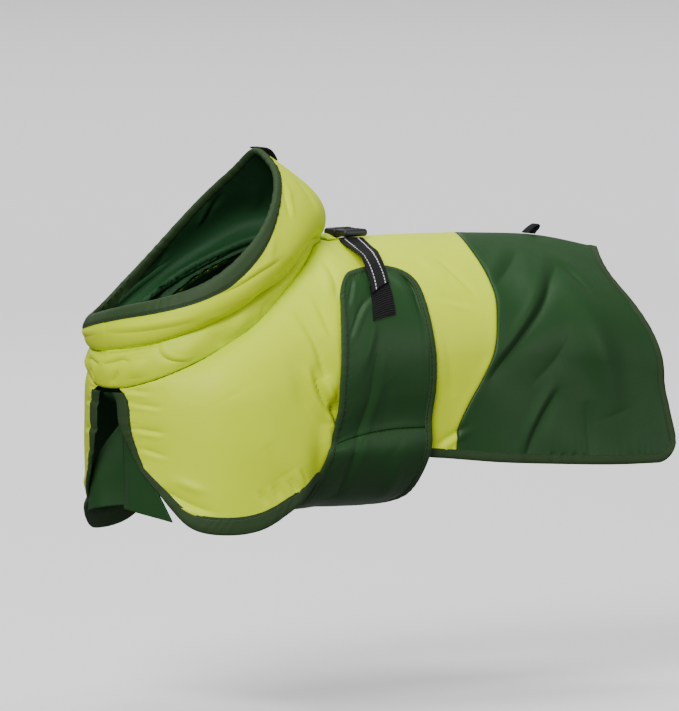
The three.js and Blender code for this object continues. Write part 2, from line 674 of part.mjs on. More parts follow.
// The raised lip of the lead opening at the back of the neck.
function leadWelt(name, finish) {
  const lip = new Cloth();
  lip.grid(grids.weltColumns, grids.weltRows, (i, j, outside) => {
    const t = i / grids.weltColumns;
    const across = (2 * j) / grids.weltRows - 1;
    const x = lerp(welt.fromX, welt.toX, t);
    const y = welt.halfWidth * across;
    const dome = welt.rise * Math.sin(Math.PI * t) * Math.cos((Math.PI / 2) * across);
    const fall = (y * y) / welt.bow;
    return new THREE.Vector3(x, y, welt.lift + dome - fall + (outside ? tapeWall : 0));
  });
  return lip.mesh(name, finish);
}

// A folded tape as a strip along points in the plane of the spine.
function tapeStrip(name, finish, path, width) {
  const strip = new Cloth();
  const steps = path.length - 1;
  const curve = new THREE.CatmullRomCurve3(path);
  strip.grid(steps * 2, 1, (i, j, outside) => {
    const t = i / (steps * 2);
    const tangent = curve.getTangent(t);
    const out = new THREE.Vector3(tangent.z, 0, -tangent.x);
    const point = curve.getPoint(t).addScaledVector(out, outside ? tapeWall : 0);
    point.y = width * (j - 0.5);
    return point;
  });
  return strip.mesh(name, finish);
}

function neckLoop(name, finish) {
  const heights = [0, 0.2, 0.45, 0.7, 0.88, 1];
  const path = heights.map((t) => {
    const up = 1 - (loop.drop / mouthPoint(0).distanceTo(neckPoint(0))) * (1 - t);
    const lift = clothWall + loop.lift + loop.bulge * Math.sin(Math.PI * t);
    return lifted(collarSurface, 0, up, lift, normalSteps.collar);
  });
  return tapeStrip(name, finish, path.reverse(), loop.width);
}

function rearTab(name, finish) {
  const foot = coatHalf(alongAtX(tab.x, 0), 0).z + tab.lift;
  const profile = [
    { x: 0, z: 0 }, { x: 0.3, z: 0.55 }, { x: 0.62, z: 0.95 }, { x: 0.95, z: 0.85 }, { x: 0.9, z: 0.5 },
    { x: 0.62, z: 0.28 }, { x: 0.4, z: 0.06 },
  ];
  const path = profile.map(({ x, z }) => new THREE.Vector3(tab.x + x * tab.length, 0, foot + z * tab.height));
  return tapeStrip(name, finish, path.reverse(), tab.width);
}

const poncho = new THREE.Group();
poncho.add(
  coatPanel('body_panel', shellCloth, grids.bodyToWithers + grids.bodyToSeam, grids.coatRows, (i, down) => {
    const past = i - grids.bodyToWithers;
    if (past <= 0) return lerp(insetFromSlit(down, panelGap), toWithers, i / grids.bodyToWithers);
    return lerp(toWithers, seamAlong(down) - seamGap / coatLength, past / grids.bodyToSeam);
  }),
  coatPanel('rear_panel', greenCloth, grids.rearColumns, grids.coatRows, (i, down) => {
    const t = 1 - (1 - i / grids.rearColumns) ** rearColumnsSpread;
    return lerp(seamAlong(down) + seamGap / coatLength, insetFromRear(down, panelGap), t);
  }),
  edgeBinding('edge_binding', bindingTape),
  collarTube('collar', shellCloth, 0, clothWall),
  collarTube('collar_lining', liningCloth, -liningWall - liningGap, liningWall),
  mouthBinding('collar_binding', bindingTape, grids.collarColumns),
  chestGusset('chest_gusset', greenCloth),
  ...bandPanels(),
  bandBinding('band_binding', bindingTape),
  buckleHalf('buckle_left', -1, blackPlastic),
  buckleHalf('buckle_right', 1, blackPlastic),
  leadWelt('lead_welt', shellCloth),
  neckLoop('neck_loop', blackWebbing),
  rearTab('rear_tab', blackWebbing),
);
for (const [side, word] of [[-1, 'left'], [1, 'right']]) {
  const { strapSteps, elasticSteps } = grids;
  const elasticHeight = () => elasticLift;
  poncho.add(
    webbing(`strap_${word}`, blackWebbing, side, strapTop, strapEnd, strapSteps, strapHeight, webWall),
    webbing(`elastic_${word}`, blackWebbing, side, elasticTop, elasticEnd, elasticSteps, elasticHeight, webWall),
  );
}

export default poncho;
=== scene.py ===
# A rain poncho for a small dog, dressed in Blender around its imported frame.
# -X is the neck end, +X the tail end, -Y the wearer's left side and +Z up.
# Shapes are worked out in millimetres and turned into metres when a mesh is made.
import math

import bmesh
import bpy
import numpy as np
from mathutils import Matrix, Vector


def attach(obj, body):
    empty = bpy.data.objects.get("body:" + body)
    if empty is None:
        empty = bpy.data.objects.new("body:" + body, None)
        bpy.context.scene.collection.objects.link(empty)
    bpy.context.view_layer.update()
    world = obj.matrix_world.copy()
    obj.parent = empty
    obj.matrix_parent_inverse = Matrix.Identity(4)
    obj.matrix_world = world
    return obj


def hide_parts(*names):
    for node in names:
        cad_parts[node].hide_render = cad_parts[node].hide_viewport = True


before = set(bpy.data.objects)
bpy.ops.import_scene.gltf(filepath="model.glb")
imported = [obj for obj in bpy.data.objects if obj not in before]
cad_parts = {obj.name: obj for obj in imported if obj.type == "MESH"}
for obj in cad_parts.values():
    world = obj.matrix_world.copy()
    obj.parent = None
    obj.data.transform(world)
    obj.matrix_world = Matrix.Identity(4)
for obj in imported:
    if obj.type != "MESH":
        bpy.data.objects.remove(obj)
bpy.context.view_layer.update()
mm = 0.001
print("frame loaded")

# ---- camera, floor and light ----
view = {"azimuth": -35, "elevation": 5, "distance": 9.0, "sensor": 36, "span": 0.4903,
        "target": (-0.01103, -0.00075, -0.0794)}
studio = {"floor": -0.32, "floorSize": 40, "world": 0.28}
studioLights = (
    # name, place, aim, size, power
    ("key", (-2.3, -1.7, 1.7), (0, 0, -0.08), 1.3, 128),
    ("top", (-0.1, -0.2, 2.4), (0, 0, 0), 1.5, 40),
    ("fill", (1.6, -2.6, 0.6), (0, 0, -0.08), 1.6, 26),
    ("back", (0.8, 2.4, 1.2), (0, 0, 0), 1.6, 9),
    ("backdrop", (3.0, 4.3, 3.0), (3.0, 4.3, 0), 7.0, 300),
)


def setCamera():
    turn, lift = math.radians(view["azimuth"]), math.radians(view["elevation"])
    back = Vector((math.sin(turn) * math.cos(lift), -math.cos(turn) * math.cos(lift), math.sin(lift)))
    data = bpy.data.cameras.new("camera")
    data.sensor_width = view["sensor"]
    data.lens = view["sensor"] * view["distance"] / view["span"]
    data.clip_end = 100
    camera = bpy.data.objects.new("camera", data)
    camera.location = Vector(view["target"]) + back * view["distance"]
    camera.rotation_euler = (-back).to_track_quat("-Z", "Y").to_euler()
    bpy.context.scene.collection.objects.link(camera)
    bpy.context.scene.camera = camera


setCamera()


def table(names, *rows):
    return dict(zip(names.split(), np.array(rows, float).T))


def lerp(a, b, t):
    return a + (b - a) * t


def smoothstep(value, low, high):
    t = np.clip((value - low) / (high - low), 0, 1)
    return t * t * (3 - 2 * t)


def points(x, y, z):
    return np.stack(np.broadcast_arrays(x, y, z), -1).astype(float)


def curveBetween(before, here, after, later, t):
    # a smooth curve from here to after, which also heeds the values before and later
    return here + 0.5 * t * (after - before + t * (
        2 * before - 5 * here + 4 * after - later + t * (3 * (here - after) + later - before)))


def smoothAt(values, place):
    # a smooth curve through evenly spaced values, read at any place along them
    last = len(values) - 1
    first = np.clip(np.floor(place), 0, last - 1).astype(int)
    t = place - first
    here, after = values[first], values[first + 1]
    before = np.where(first > 0, values[np.maximum(first - 1, 0)], 2 * here - after)
    later = np.where(first + 2 <= last, values[np.minimum(first + 2, last)], 2 * after - here)
    return curveBetween(before, here, after, later, t)


# ---- the coat ----
neckSeam = table("x y z", (-28, 0, 0), (-38, 13, 0), (-52, 27, -1), (-70, 42, -11), (-94, 55, -26),
                 (-124, 61, -49), (-158, 57, -68), (-186, 43, -82), (-200, 21, -90), (-204, 0, -92))
spine = table("x z", (16, 1), (62, 0.5), (108, -1), (158, -5), (209, -15.7))
cuts = table(
    "sideX sideY sideZ hemX hemY hemZ turn peak",
    (-203, 12, -108, -197, 31, -147, 0.3, 1.1),
    (-197.5, 31, -108, -189, 46, -165, 0.28, 1.1),
    (-183, 56, -106, -177, 62, -184.5, 0.28, 1.1),
    (-162, 75, -102, -157, 76, -189.5, 0.33, 1.1),
    (-134, 84, -97, -131, 83, -186, 0.4, 1.1),
    (-100, 87, -89, -104, 85, -171, 0.48, 1.15),
    (-74, 88, -82, -81, 73.5, -156, 0.54, 1.2),
    (-52, 87.5, -78, -58, 71.5, -148, 0.58, 1.2),
    (-33, 87, -76, -34, 72.5, -144.5, 0.6, 1.2),
    (-14, 87, -75, -10, 72.5, -143.5, 0.6, 1.2),
    (22, 87.5, -75, 20, 79, -146, 0.6, 1.2),
    (64, 89, -77, 62, 89, -150.5, 0.6, 1.2),
    (108, 90, -80, 108, 91.5, -154, 0.6, 1.25),
    (157, 89.5, -86, 158, 92.5, -157, 0.6, 1.3),
    (205, 86, -98, 210, 92.5, -158, 0.6, 1.4))
colourSeam = np.array([89, 81.5, 75, 71.5, 68.5, 62.5, 57, 48.5, 38, 30.5, 30], float)
coat = {"slitTopGap": 4.4, "neckSeamLength": 500, "cornerRadius": 17, "notch": 16, "notchReach": 88,
        "frontBinding": 12.5, "rearBinding": 6.8, "wall": 1.6, "slitTapeGap": 4.6}
cutCount = len(cuts["turn"])
cutAtWithers = len(neckSeam["x"]) - 1
neckEnd = cutAtWithers + 0.09


def seamPoint(around):
    place = around * cutAtWithers + 1
    first, last = 1, cutAtWithers - 1
    rows = {key: np.concatenate(([sign * neckSeam[key][first]], neckSeam[key], [sign * neckSeam[key][last]]))
            for key, sign in (("x", 1), ("y", -1), ("z", 1))}
    return points(*(smoothAt(rows[key], place) for key in "xyz"))


def topLine(place):
    line = {key: np.concatenate((neckSeam[key][[1, 0]], spine[key])) for key in "xz"}
    at = place - cutAtWithers + 1
    onSpine = points(smoothAt(line["x"], at), 0, smoothAt(line["z"], at))
    around = (cutAtWithers - place) / cutAtWithers
    onNeck = seamPoint(around * (1 - coat["slitTopGap"] / coat["neckSeamLength"]))
    return np.where((place >= cutAtWithers)[..., None], onSpine, onNeck)


def coatHalf(along, down):
    # half of the coat on the +Y side: along 0 at the slit, 1 at the rear edge; down 0 at the top, 1 at the hem
    along, down = np.broadcast_arrays(np.asarray(along, float), np.asarray(down, float))
    place = along * (cutCount - 1)
    value = {key: smoothAt(column, place) for key, column in cuts.items()}
    top = topLine(place)
    radius = coat["cornerRadius"]
    pastCorner = np.maximum(0, value["hemX"] - (cuts["hemX"][-1] - radius))
    hemZ = value["hemZ"] + radius - np.sqrt(np.maximum(0, radius**2 - pastCorner**2))
    angle = down / value["turn"] * np.pi / 2
    out = np.sign(angle) * np.abs(np.sin(angle)) ** value["peak"]
    upper = points(lerp(top[..., 0], value["sideX"], out), lerp(top[..., 1], value["sideY"], out),
                   lerp(top[..., 2], value["sideZ"], 1 - np.cos(angle)))
    t = (down - value["turn"]) / (1 - value["turn"])
    out = t * t * (2 - t)
    lower = points(lerp(value["sideX"], value["hemX"], out), lerp(value["sideY"], value["hemY"], out),
                   lerp(value["sideZ"], hemZ, t))
    point = np.where((down < value["turn"])[..., None], upper, lower)
    reach = np.clip(np.abs(point[..., 1]) / coat["notchReach"], 0, 1)
    point[..., 0] -= coat["notch"] * np.sin(np.pi * reach) * smoothstep(place, cutCount - 3, cutCount - 1)
    return point


def alongAtX(x, down):
    x, down = np.broadcast_arrays(np.asarray(x, float), np.asarray(down, float))
    low, high = np.full(x.shape, 0.45), np.full(x.shape, 1.05)
    for _ in range(24):
        middle = (low + high) / 2
        short = coatHalf(middle, down)[..., 0] < x
        low, high = np.where(short, middle, low), np.where(short, high, middle)
    return (low + high) / 2


def seamAlong(down):
    return alongAtX(smoothAt(colourSeam, down * (len(colourSeam) - 1)), down)


def apart(a, b):
    return np.linalg.norm(a - b, axis=-1)


def insetFromSlit(down, gap):
    return (coat["frontBinding"] + gap) / apart(coatHalf(0.02, down), coatHalf(0, down)) * 0.02


def insetFromRear(down, gap):
    return 1 - (coat["rearBinding"] + gap) / apart(coatHalf(1, down), coatHalf(0.98, down)) * 0.02


def insetFromHem(along, gap):
    width = lerp(coat["frontBinding"], coat["rearBinding"], smoothstep(along * (cutCount - 1), 4, 7)) + gap
    return 1 - width / apart(coatHalf(along, 1), coatHalf(along, 0.96)) * 0.04


def neckShare(along):
    # 1 where the coat ends at the neck seam, falling to 0 where it runs on over the spine
    return np.clip(neckEnd - along * (cutCount - 1), 0, 1)


def insetFromNeck(along, gap):
    return neckShare(along) * gap / apart(coatHalf(along, 0.02), coatHalf(along, 0)) * 0.02


def gridNormals(grid, roundA=False):
    if roundA:
        alongA = np.roll(grid, -1, 0) - np.roll(grid, 1, 0)
    else:
        alongA = np.gradient(grid, axis=0)
    normal = np.cross(alongA, np.gradient(grid, axis=1))
    return normal / np.maximum(np.linalg.norm(normal, axis=-1, keepdims=True), 1e-9)


# ---- the collar ----
mouth = {"x": -141, "z": 13, "riseX": 58, "back": 45, "front": 52, "peak": 7, "peakReach": 0.07,
         "halfWidth": 73, "dip": 26, "slouch": 0.2}
collarSlouch = table(
    "crease creaseDepth lowRoll highRoll lean",
    (0.05, 0, 0, 15, 0.58), (0.1, 0.6, 0.5, 13.5, 0.6), (0.24, 1.6, 1.5, 10.5, 0.6), (0.38, 2.2, 2, 8, 0.68),
    (0.46, 2.8, 2.4, 6, 0.76), (0.5, 3.2, 2.6, 4.5, 0.84), (0.52, 3.4, 2.8, 4, 0.9))


def roundPlace(around):
    return (around + 1) % 2 - 1


def mouthPoint(around):
    angle = np.pi * around
    y = mouth["halfWidth"] * np.sin(angle)
    rise = np.cos(angle) * np.where(np.cos(angle) > 0, mouth["back"], mouth["front"])
    peak = mouth["peak"] * np.exp(-((np.sin(angle / 2) / np.pi / mouth["peakReach"]) ** 2) * 4)
    z = mouth["z"] + rise + peak - mouth["dip"] * np.sin(angle) ** 2 - mouth["slouch"] * y
    return points(mouth["x"] + mouth["riseX"] * np.cos(angle), y, z)


def neckPoint(around):
    inRange = roundPlace(around)
    point = seamPoint(np.abs(inRange))
    point[..., 1] *= np.where(inRange < 0, -1, 1)
    return point


def collarSurface(around, up, extra=0, creaseWidth=0.09):
    around, up = np.broadcast_arrays(np.asarray(around, float), np.asarray(up, float))
    half = np.abs(roundPlace(around))
    slouch = {key: smoothAt(column, half * (len(column) - 1)) for key, column in collarSlouch.items()}
    foot, rim = neckPoint(around), mouthPoint(around)
    chord = rim - foot
    step = 0.01
    ring = (neckPoint(around + step) + mouthPoint(around + step)
            - neckPoint(around - step) - mouthPoint(around - step))
    outward = np.cross(ring, chord)
    outward /= np.linalg.norm(outward, axis=-1, keepdims=True)
    crease = slouch["crease"]
    above = np.clip((up - crease) / (1 - crease), 0, 1)
    below = np.clip(up / crease, 0, 1)
    bulge = np.where(up > crease, slouch["highRoll"] * np.sin(np.pi * above ** slouch["lean"]),
                     slouch["lowRoll"] * np.sin(np.pi * below))
    bulge = bulge - slouch["creaseDepth"] * np.exp(-(((up - crease) / creaseWidth) ** 2)) + extra
    return foot + chord * up[..., None] + outward * bulge[..., None]


# ---- the belly band ----
bandShares = np.array([0.26, 0.31, 0.37, 0.44, 0.52, 0.6, 0.72, 0.84])
bandBelow = table("y z", (83, -140), (65, -164.5), (42, -175.5), (0, -181), (-42, -175.5))
bandEdges = table("front rear", (-60, 4), (-64, 7), (-68, 7.5), (-71, 6.5), (-73, 6), (-74, 7), (-73.5, 8),
                  (-76, 7.5), (-80, 7.5), (-82, 7), (-79, 6), (-72, 6), (-70, 6))
bandLift = 2.9
bandX = np.linspace(-84, 18, 103)


def bandRowShapes():
    rows = []
    for share in bandShares:
        along = alongAtX(bandX, share)
        step = 0.004
        a = coatHalf(along + step, share) - coatHalf(along - step, share)
        b = coatHalf(along, share + step) - coatHalf(along, share - step)
        normal = np.cross(a, b)
        normal /= np.linalg.norm(normal, axis=-1, keepdims=True)
        rows.append((coatHalf(along, share) + normal * bandLift)[:, 1:])
    for y, z in zip(bandBelow["y"], bandBelow["z"]):
        rows.append(np.tile([y, z], (len(bandX), 1)))
    return np.array(rows)


bandShape = bandRowShapes()


def bandSurface(across, place):
    across, place = np.broadcast_arrays(np.asarray(across, float), np.asarray(place, float))
    x = lerp(smoothAt(bandEdges["front"], place), smoothAt(bandEdges["rear"], place), across)
    column = np.clip((x - bandX[0]) / (bandX[1] - bandX[0]), 0, len(bandX) - 1.001)
    low = column.astype(int)
    share = (column - low)[..., None]
    last = len(bandShape) - 1
    first = np.clip(np.floor(place), 0, last - 1).astype(int)
    t = (place - first)[..., None]

    def row(k):
        k = np.clip(k, 0, last)
        return lerp(bandShape[k, low], bandShape[k, low + 1], share)

    here, after = row(first), row(first + 1)
    before = np.where((first > 0)[..., None], row(first - 1), 2 * here - after)
    later = np.where((first + 2 <= last)[..., None], row(first + 2), 2 * after - here)
    yz = curveBetween(before, here, after, later, t)
    return points(x, yz[..., 0], yz[..., 1])


# ---- folds, ripples and seams ----
def smoothLine(line, steps=8):
    line = np.array(line, float)
    if len(line) == 2:
        return line
    at = np.linspace(0, len(line) - 1, steps * (len(line) - 1) + 1)
    return np.stack([smoothAt(line[:, 0], at), smoothAt(line[:, 1], at)], -1)


def creaseHeight(creases, a, b):
    # a trough is a sharp line and a ridge is round; skew puts a ridge beside a trough, on one side of it
    a, b = np.broadcast_arrays(np.asarray(a, float), np.asarray(b, float))
    height = np.zeros(a.shape)
    for line, width, depth, skew in creases:
        line = smoothLine(line)
        lengths = np.concatenate(([0], np.cumsum(np.linalg.norm(np.diff(line, axis=0), axis=1))))
        nearest, signed, share = np.full(height.shape, 1e9), np.zeros(height.shape), np.zeros(height.shape)
        for k in range(len(line) - 1):
            step = line[k + 1] - line[k]
            length = lengths[k + 1] - lengths[k]
            t = np.clip(((a - line[k, 0]) * step[0] + (b - line[k, 1]) * step[1]) / length**2, 0, 1)
            awayA, awayB = a - line[k, 0] - t * step[0], b - line[k, 1] - t * step[1]
            away = np.hypot(awayA, awayB)
            near = away < nearest
            nearest = np.where(near, away, nearest)
            signed = np.where(near, (step[0] * awayB - step[1] * awayA) / length, signed)
            share = np.where(near, (lengths[k] + t * length) / lengths[-1], share)
        fade = 0.2 + 0.8 * np.sin(np.pi * share) ** 0.7
        if depth > 0:
            height += depth * fade * np.exp(-((nearest / width) ** 2))
            continue
        height += depth * fade * np.exp(-1.3 * (np.hypot(nearest, 0.35) - 0.35) / width)
        beside = np.hypot(signed + np.sign(skew) * 1.15 * width, np.sqrt(np.maximum(nearest**2 - signed**2, 0)))
        height -= depth * fade * 0.75 * abs(skew) * np.exp(-((beside / (0.85 * width)) ** 2))
    return height


def ripple(u, seed=0.0):
    # an uneven row of small gathers along a stitched edge
    return (np.sin(u * 0.95 + 1.7 * np.sin(u * 0.21 + seed)) * (0.6 + 0.4 * np.sin(u * 0.13 + 2 * seed))
            + 0.35 * np.sin(u * 2.1 + seed + np.sin(u * 0.4)))


def lumps(grid, seed=0.0):
    # the slow unevenness of cloth that hangs freely
    x, y, z = grid[..., 0], np.abs(grid[..., 1]), grid[..., 2]
    return (0.5 * np.sin(x / 19 + 1.3 * np.sin(z / 27 + seed)) * np.sin(z / 16 + 0.8 * np.sin(x / 31))
            + 0.3 * np.sin(x / 9.5 + z / 14 + seed) * np.sin(z / 11 - y / 23))


def lengthAlong(grid, axis):
    steps = np.linalg.norm(np.diff(grid, axis=axis), axis=-1)
    total = np.cumsum(steps, axis=axis)
    return np.concatenate((np.zeros_like(np.take(total, [0], axis)), total), axis)


# ---- meshes ----
def finishPiece(mesh, name, finishes, nodes, smoothAngle=None):
    for finish in finishes:
        mesh.materials.append(finish)
    mesh.validate()
    if smoothAngle:
        mesh.shade_smooth()
        mesh.set_sharp_from_angle(angle=math.radians(smoothAngle))
    piece = bpy.data.objects.new(name, mesh)
    bpy.context.scene.collection.objects.link(piece)
    return register(piece, nodes)


def register(piece, nodes):
    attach(piece, "root")
    if nodes:
        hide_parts(*nodes)
    area = sum(polygon.area for polygon in piece.data.polygons) / 2
    print(f"{piece.name}: {len(piece.data.polygons)} faces, {area:.5f} square metres")
    return piece


class Sheet:
    # a cloth wall made of grids that share their edges where they meet
    def __init__(self):
        self.outer, self.inner, self.quads, self.uvs, self.count = [], [], [], [], 0

    def add(self, outer, inner, uv):
        a, b = outer.shape[:2]
        ids = self.count + np.arange(a * b).reshape(a, b)
        corners = [(slice(0, -1), slice(0, -1)), (slice(1, None), slice(0, -1)),
                   (slice(1, None), slice(1, None)), (slice(0, -1), slice(1, None))]
        quads = np.stack([ids[c].ravel() for c in corners], -1)
        uvs = np.stack([uv[c].reshape(-1, 2) for c in corners], 1)
        across = np.cross(outer[1:, :-1] - outer[:-1, :-1], outer[:-1, 1:] - outer[:-1, :-1])
        if np.sum(across * (outer - inner)[:-1, :-1]) < 0:
            quads, uvs = quads[:, ::-1], uvs[:, ::-1]
        self.outer.append(outer.reshape(-1, 3))
        self.inner.append(inner.reshape(-1, 3))
        self.quads.append(quads)
        self.uvs.append(uvs)
        self.count += a * b
        return self

    def piece(self, name, finishes, nodes, slot):
        outer, inner = np.concatenate(self.outer), np.concatenate(self.inner)
        quads, uvs = np.concatenate(self.quads), np.concatenate(self.uvs)
        _, first, same = np.unique(np.round(inner / 0.02).astype(int), axis=0, return_index=True,
                                   return_inverse=True)
        same = same.ravel()
        outer, inner, quads = outer[first], inner[first], same[quads]
        count = len(outer)
        edges = np.concatenate([quads[:, [k, (k + 1) % 4]] for k in range(4)])
        edgeUvs = np.concatenate([uvs[:, [k, (k + 1) % 4]] for k in range(4)])
        known = set(map(tuple, edges))
        rim = np.array([(b, a) not in known for a, b in edges])
        rims, rimUvs = edges[rim], edgeUvs[rim]
        rimQuads = np.stack([rims[:, 1], rims[:, 0], rims[:, 0] + count, rims[:, 1] + count], -1)
        faces = np.concatenate((quads, quads[:, ::-1] + count, rimQuads))
        loops = np.concatenate((uvs, uvs[:, ::-1], rimUvs[:, [1, 0, 0, 1]])).reshape(-1, 2)
        mesh = bpy.data.meshes.new(name)
        mesh.from_pydata(np.concatenate((outer, inner)) * mm, [], faces.tolist())
        mesh.uv_layers.new(name="cloth").data.foreach_set("uv", (loops * mm).ravel())
        last = len(finishes) - 1
        slots = np.concatenate((np.zeros(len(quads), int), np.full(len(quads) + len(rims), last)))
        mesh.polygons.foreach_set("material_index", slots)
        smooth = np.concatenate((np.ones(2 * len(quads), bool), np.zeros(len(rims), bool)))
        mesh.polygons.foreach_set("use_smooth", smooth)
        return finishPiece(mesh, name, finishes, nodes)


def ringsAlong(surface, ts, section, outward=1, roundA=False, waver=None):
    # rings of a tape whose section is a list of (place across, lift) round it
    across = sorted({w for w, _ in section})
    grid = surface(np.asarray(ts, float)[:, None], np.array(across)[None, :])
    normal = gridNormals(grid, roundA) * outward
    columns = [across.index(w) for w, _ in section]
    lifts = np.array([lift for _, lift in section])[None, :]
    if waver is not None:
        lifts = lifts + waver[:, None]
    return grid[:, columns] + normal[:, columns] * lifts[..., None]


def tubePiece(name, rings, vs, finishes, nodes, closed=False, smoothAngle=50):
    # rings of equal count joined into a closed tube; vs says what the uv map's v is round a ring
    count, size = rings.shape[:2]
    ids = np.arange(count * size).reshape(count, size)
    after = np.roll(ids, -1, 0) if closed else ids[1:]
    here = ids if closed else ids[:-1]
    quads = np.stack([here, np.roll(here, -1, 1), np.roll(after, -1, 1), after], -1).reshape(-1, 4)
    middle = rings.mean(1)
    run = np.concatenate(([0], np.cumsum(np.linalg.norm(np.diff(middle, axis=0), axis=1))))
    vs = np.asarray(vs, float)
    shape = (len(here), size)
    u0 = np.broadcast_to(run[: len(here), None], shape)
    u1 = np.broadcast_to((np.append(run, run[-1] + 1)[1:len(here) + 1])[:, None], shape)
    v0, v1 = np.broadcast_to(vs, shape), np.broadcast_to(np.roll(vs, -1), shape)
    uvs = np.stack([np.stack(p, -1) for p in ((u0, v0), (u0, v1), (u1, v1), (u1, v0))], 2).reshape(-1, 2)
    faces = quads.tolist()
    mesh = bpy.data.meshes.new(name)
    if not closed:
        faces += [ids[0][::-1].tolist(), ids[-1].tolist()]
        uvs = np.concatenate((uvs, np.zeros((2 * size, 2))))
    mesh.from_pydata(rings.reshape(-1, 3) * mm, [], faces)
    mesh.uv_layers.new(name="cloth").data.foreach_set("uv", (uvs * mm).ravel())
    shell = bmesh.new()
    shell.from_mesh(mesh)
    bmesh.ops.recalc_face_normals(shell, faces=shell.faces)
    shell.to_mesh(mesh)
    shell.free()
    return finishPiece(mesh, name, finishes, nodes, smoothAngle)


# ---- materials ----
class Wire:
    # one output of a node, with sums that add Math nodes
    def __init__(self, board, socket):
        self.board, self.socket = board, socket

    def math(self, operation, *others):
        return self.board.node("ShaderNodeMath", {"operation": operation},
                               dict(enumerate((self, *others)))).out()

    def __add__(self, other):
        return self.math("ADD", other)

    def __mul__(self, other):
        return self.math("MULTIPLY", other)

    def __sub__(self, other):
        return self.math("SUBTRACT", other)

    def __truediv__(self, other):
        return self.math("DIVIDE", other)

    def __rsub__(self, other):
        return self.math("MULTIPLY", -1).math("ADD", other)

    __radd__ = __add__
    __rmul__ = __mul__

    def wave(self, pitch):
        return (self * (2 * math.pi / pitch)).math("SINE")

    def band(self, middle, halfWidth, soft):
        # 1 inside a stripe round a value, falling softly to 0
        away = (self - middle).math("ABSOLUTE")
        return self.board.node("ShaderNodeMapRange", {"interpolation_type": "SMOOTHSTEP"},
                               {"Value": away, "From Min": halfWidth, "From Max": halfWidth + soft,
                                "To Min": 1.0, "To Max": 0.0}).out()


class Made:
    def __init__(self, board, node):
        self.board, self.node = board, node

    def out(self, name=0):
        return Wire(self.board, self.node.outputs[name])


class Board:
    # the node tree of one finish
    def __init__(self, name, roughness, **constants):
        self.finish = bpy.data.materials.new(name)
        self.finish.use_nodes = True
        self.tree = self.finish.node_tree
        self.shader = next(n for n in self.tree.nodes if n.type == "BSDF_PRINCIPLED")
        self.shader.inputs["Roughness"].default_value = roughness
        for key, value in constants.items():
            self.shader.inputs[key.replace("_", " ")].default_value = value

    def node(self, kind, settings=None, sockets=None):
        made = self.tree.nodes.new(kind)
        for key, value in (settings or {}).items():
            setattr(made, key, value)
        for key, value in (sockets or {}).items():
            if isinstance(value, Wire):
                self.tree.links.new(value.socket, made.inputs[key])
            else:
                made.inputs[key].default_value = value
        return Made(self, made)

    def clothPlaces(self):
        # u along and v across the cloth, in metres
        parts = self.node("ShaderNodeSeparateXYZ", None, {0: self.node("ShaderNodeUVMap", {"uv_map": "cloth"}).out()})
        return parts.out(0), parts.out(1)

    def objectPlaces(self):
        return self.node("ShaderNodeTexCoord").out("Object")

    def noise(self, where, scale, detail=3.0):
        return self.node("ShaderNodeTexNoise", None, {"Vector": where, "Scale": scale, "Detail": detail}).out(0)

    def mix(self, share, first, second):
        return self.node("ShaderNodeMix", {"data_type": "RGBA"}, {0: share, 6: first, 7: second}).out(2)

    def colour(self, wire):
        self.tree.links.new(wire.socket, self.shader.inputs["Base Color"])

    def rough(self, wire):
        self.tree.links.new(wire.socket, self.shader.inputs["Roughness"])

    def relief(self, height, distance=1.0):
        # height is in metres
        bump = self.node("ShaderNodeBump", None, {"Height": height, "Distance": distance, "Strength": 1.0})
        self.tree.links.new(bump.out().socket, self.shader.inputs["Normal"])


def linear(code):
    # a screen colour such as d5da62 as the linear colour that a shader takes
    parts = [int(code[k:k + 2], 16) / 255 for k in (0, 2, 4)]
    return tuple(p / 12.92 if p < 0.04045 else ((p + 0.055) / 1.055) ** 2.4 for p in parts) + (1.0,)


def clothFinish(name, base, light, dark, roughness, look):
    board = Board(name, roughness, Specular_IOR_Level=look["shine"])
    where = board.objectPlaces()
    u, v = board.clothPlaces()
    broad = board.noise(where, 9, 2.0)
    fine = board.noise(where, 420, 2.0)
    tone = board.mix(broad, linear(dark), linear(light))
    tone = board.mix(0.55, tone, linear(base))
    board.colour(board.mix(fine * look["fleck"], tone, linear(dark)))
    weave = u.wave(look["thread"]) * v.wave(look["thread"])
    crinkle = board.noise(where, 60, 4.0)
    soft = board.noise(where, 16, 2.0)
    board.rough(roughness + (fine - 0.5) * 0.12 + (crinkle - 0.5) * 0.1)
    board.relief(weave * look["weave"] + crinkle * look["crinkle"] + soft * look["soft"])
    return board.finish


def stitchRow(u, v, line, halfWidth, pitch, halfDash):
    return v.band(line, halfWidth, 0.0002) * (u / pitch).math("FRACT").band(0.5, halfDash, 0.08)


def tapeFinish(name, base, light, roughness, look):
    # a folded woven tape: u runs along it and v across it, with a line of stitches at each v named
    board = Board(name, roughness, Specular_IOR_Level=0.2)
    where = board.objectPlaces()
    u, v = board.clothPlaces()
    tone = board.mix(board.noise(where, 30, 3.0), linear(base), linear(light))
    height = u.wave(look["rib"]) * v.wave(look["rib"]) * look["weave"] + board.noise(where, 90, 3.0) * look["crinkle"]
    for line in look["stitches"]:
        thread = stitchRow(u, v, line, 0.00028, look["pitch"], 0.34)
        tone = board.mix(thread * look["threadTone"], tone, linear(look["thread"]))
        groove = v.band(line, 0.0005, 0.0005)
        height = height + thread * 0.00018 - groove * 0.00022
    board.colour(tone)
    board.relief(height)
    return board.finish


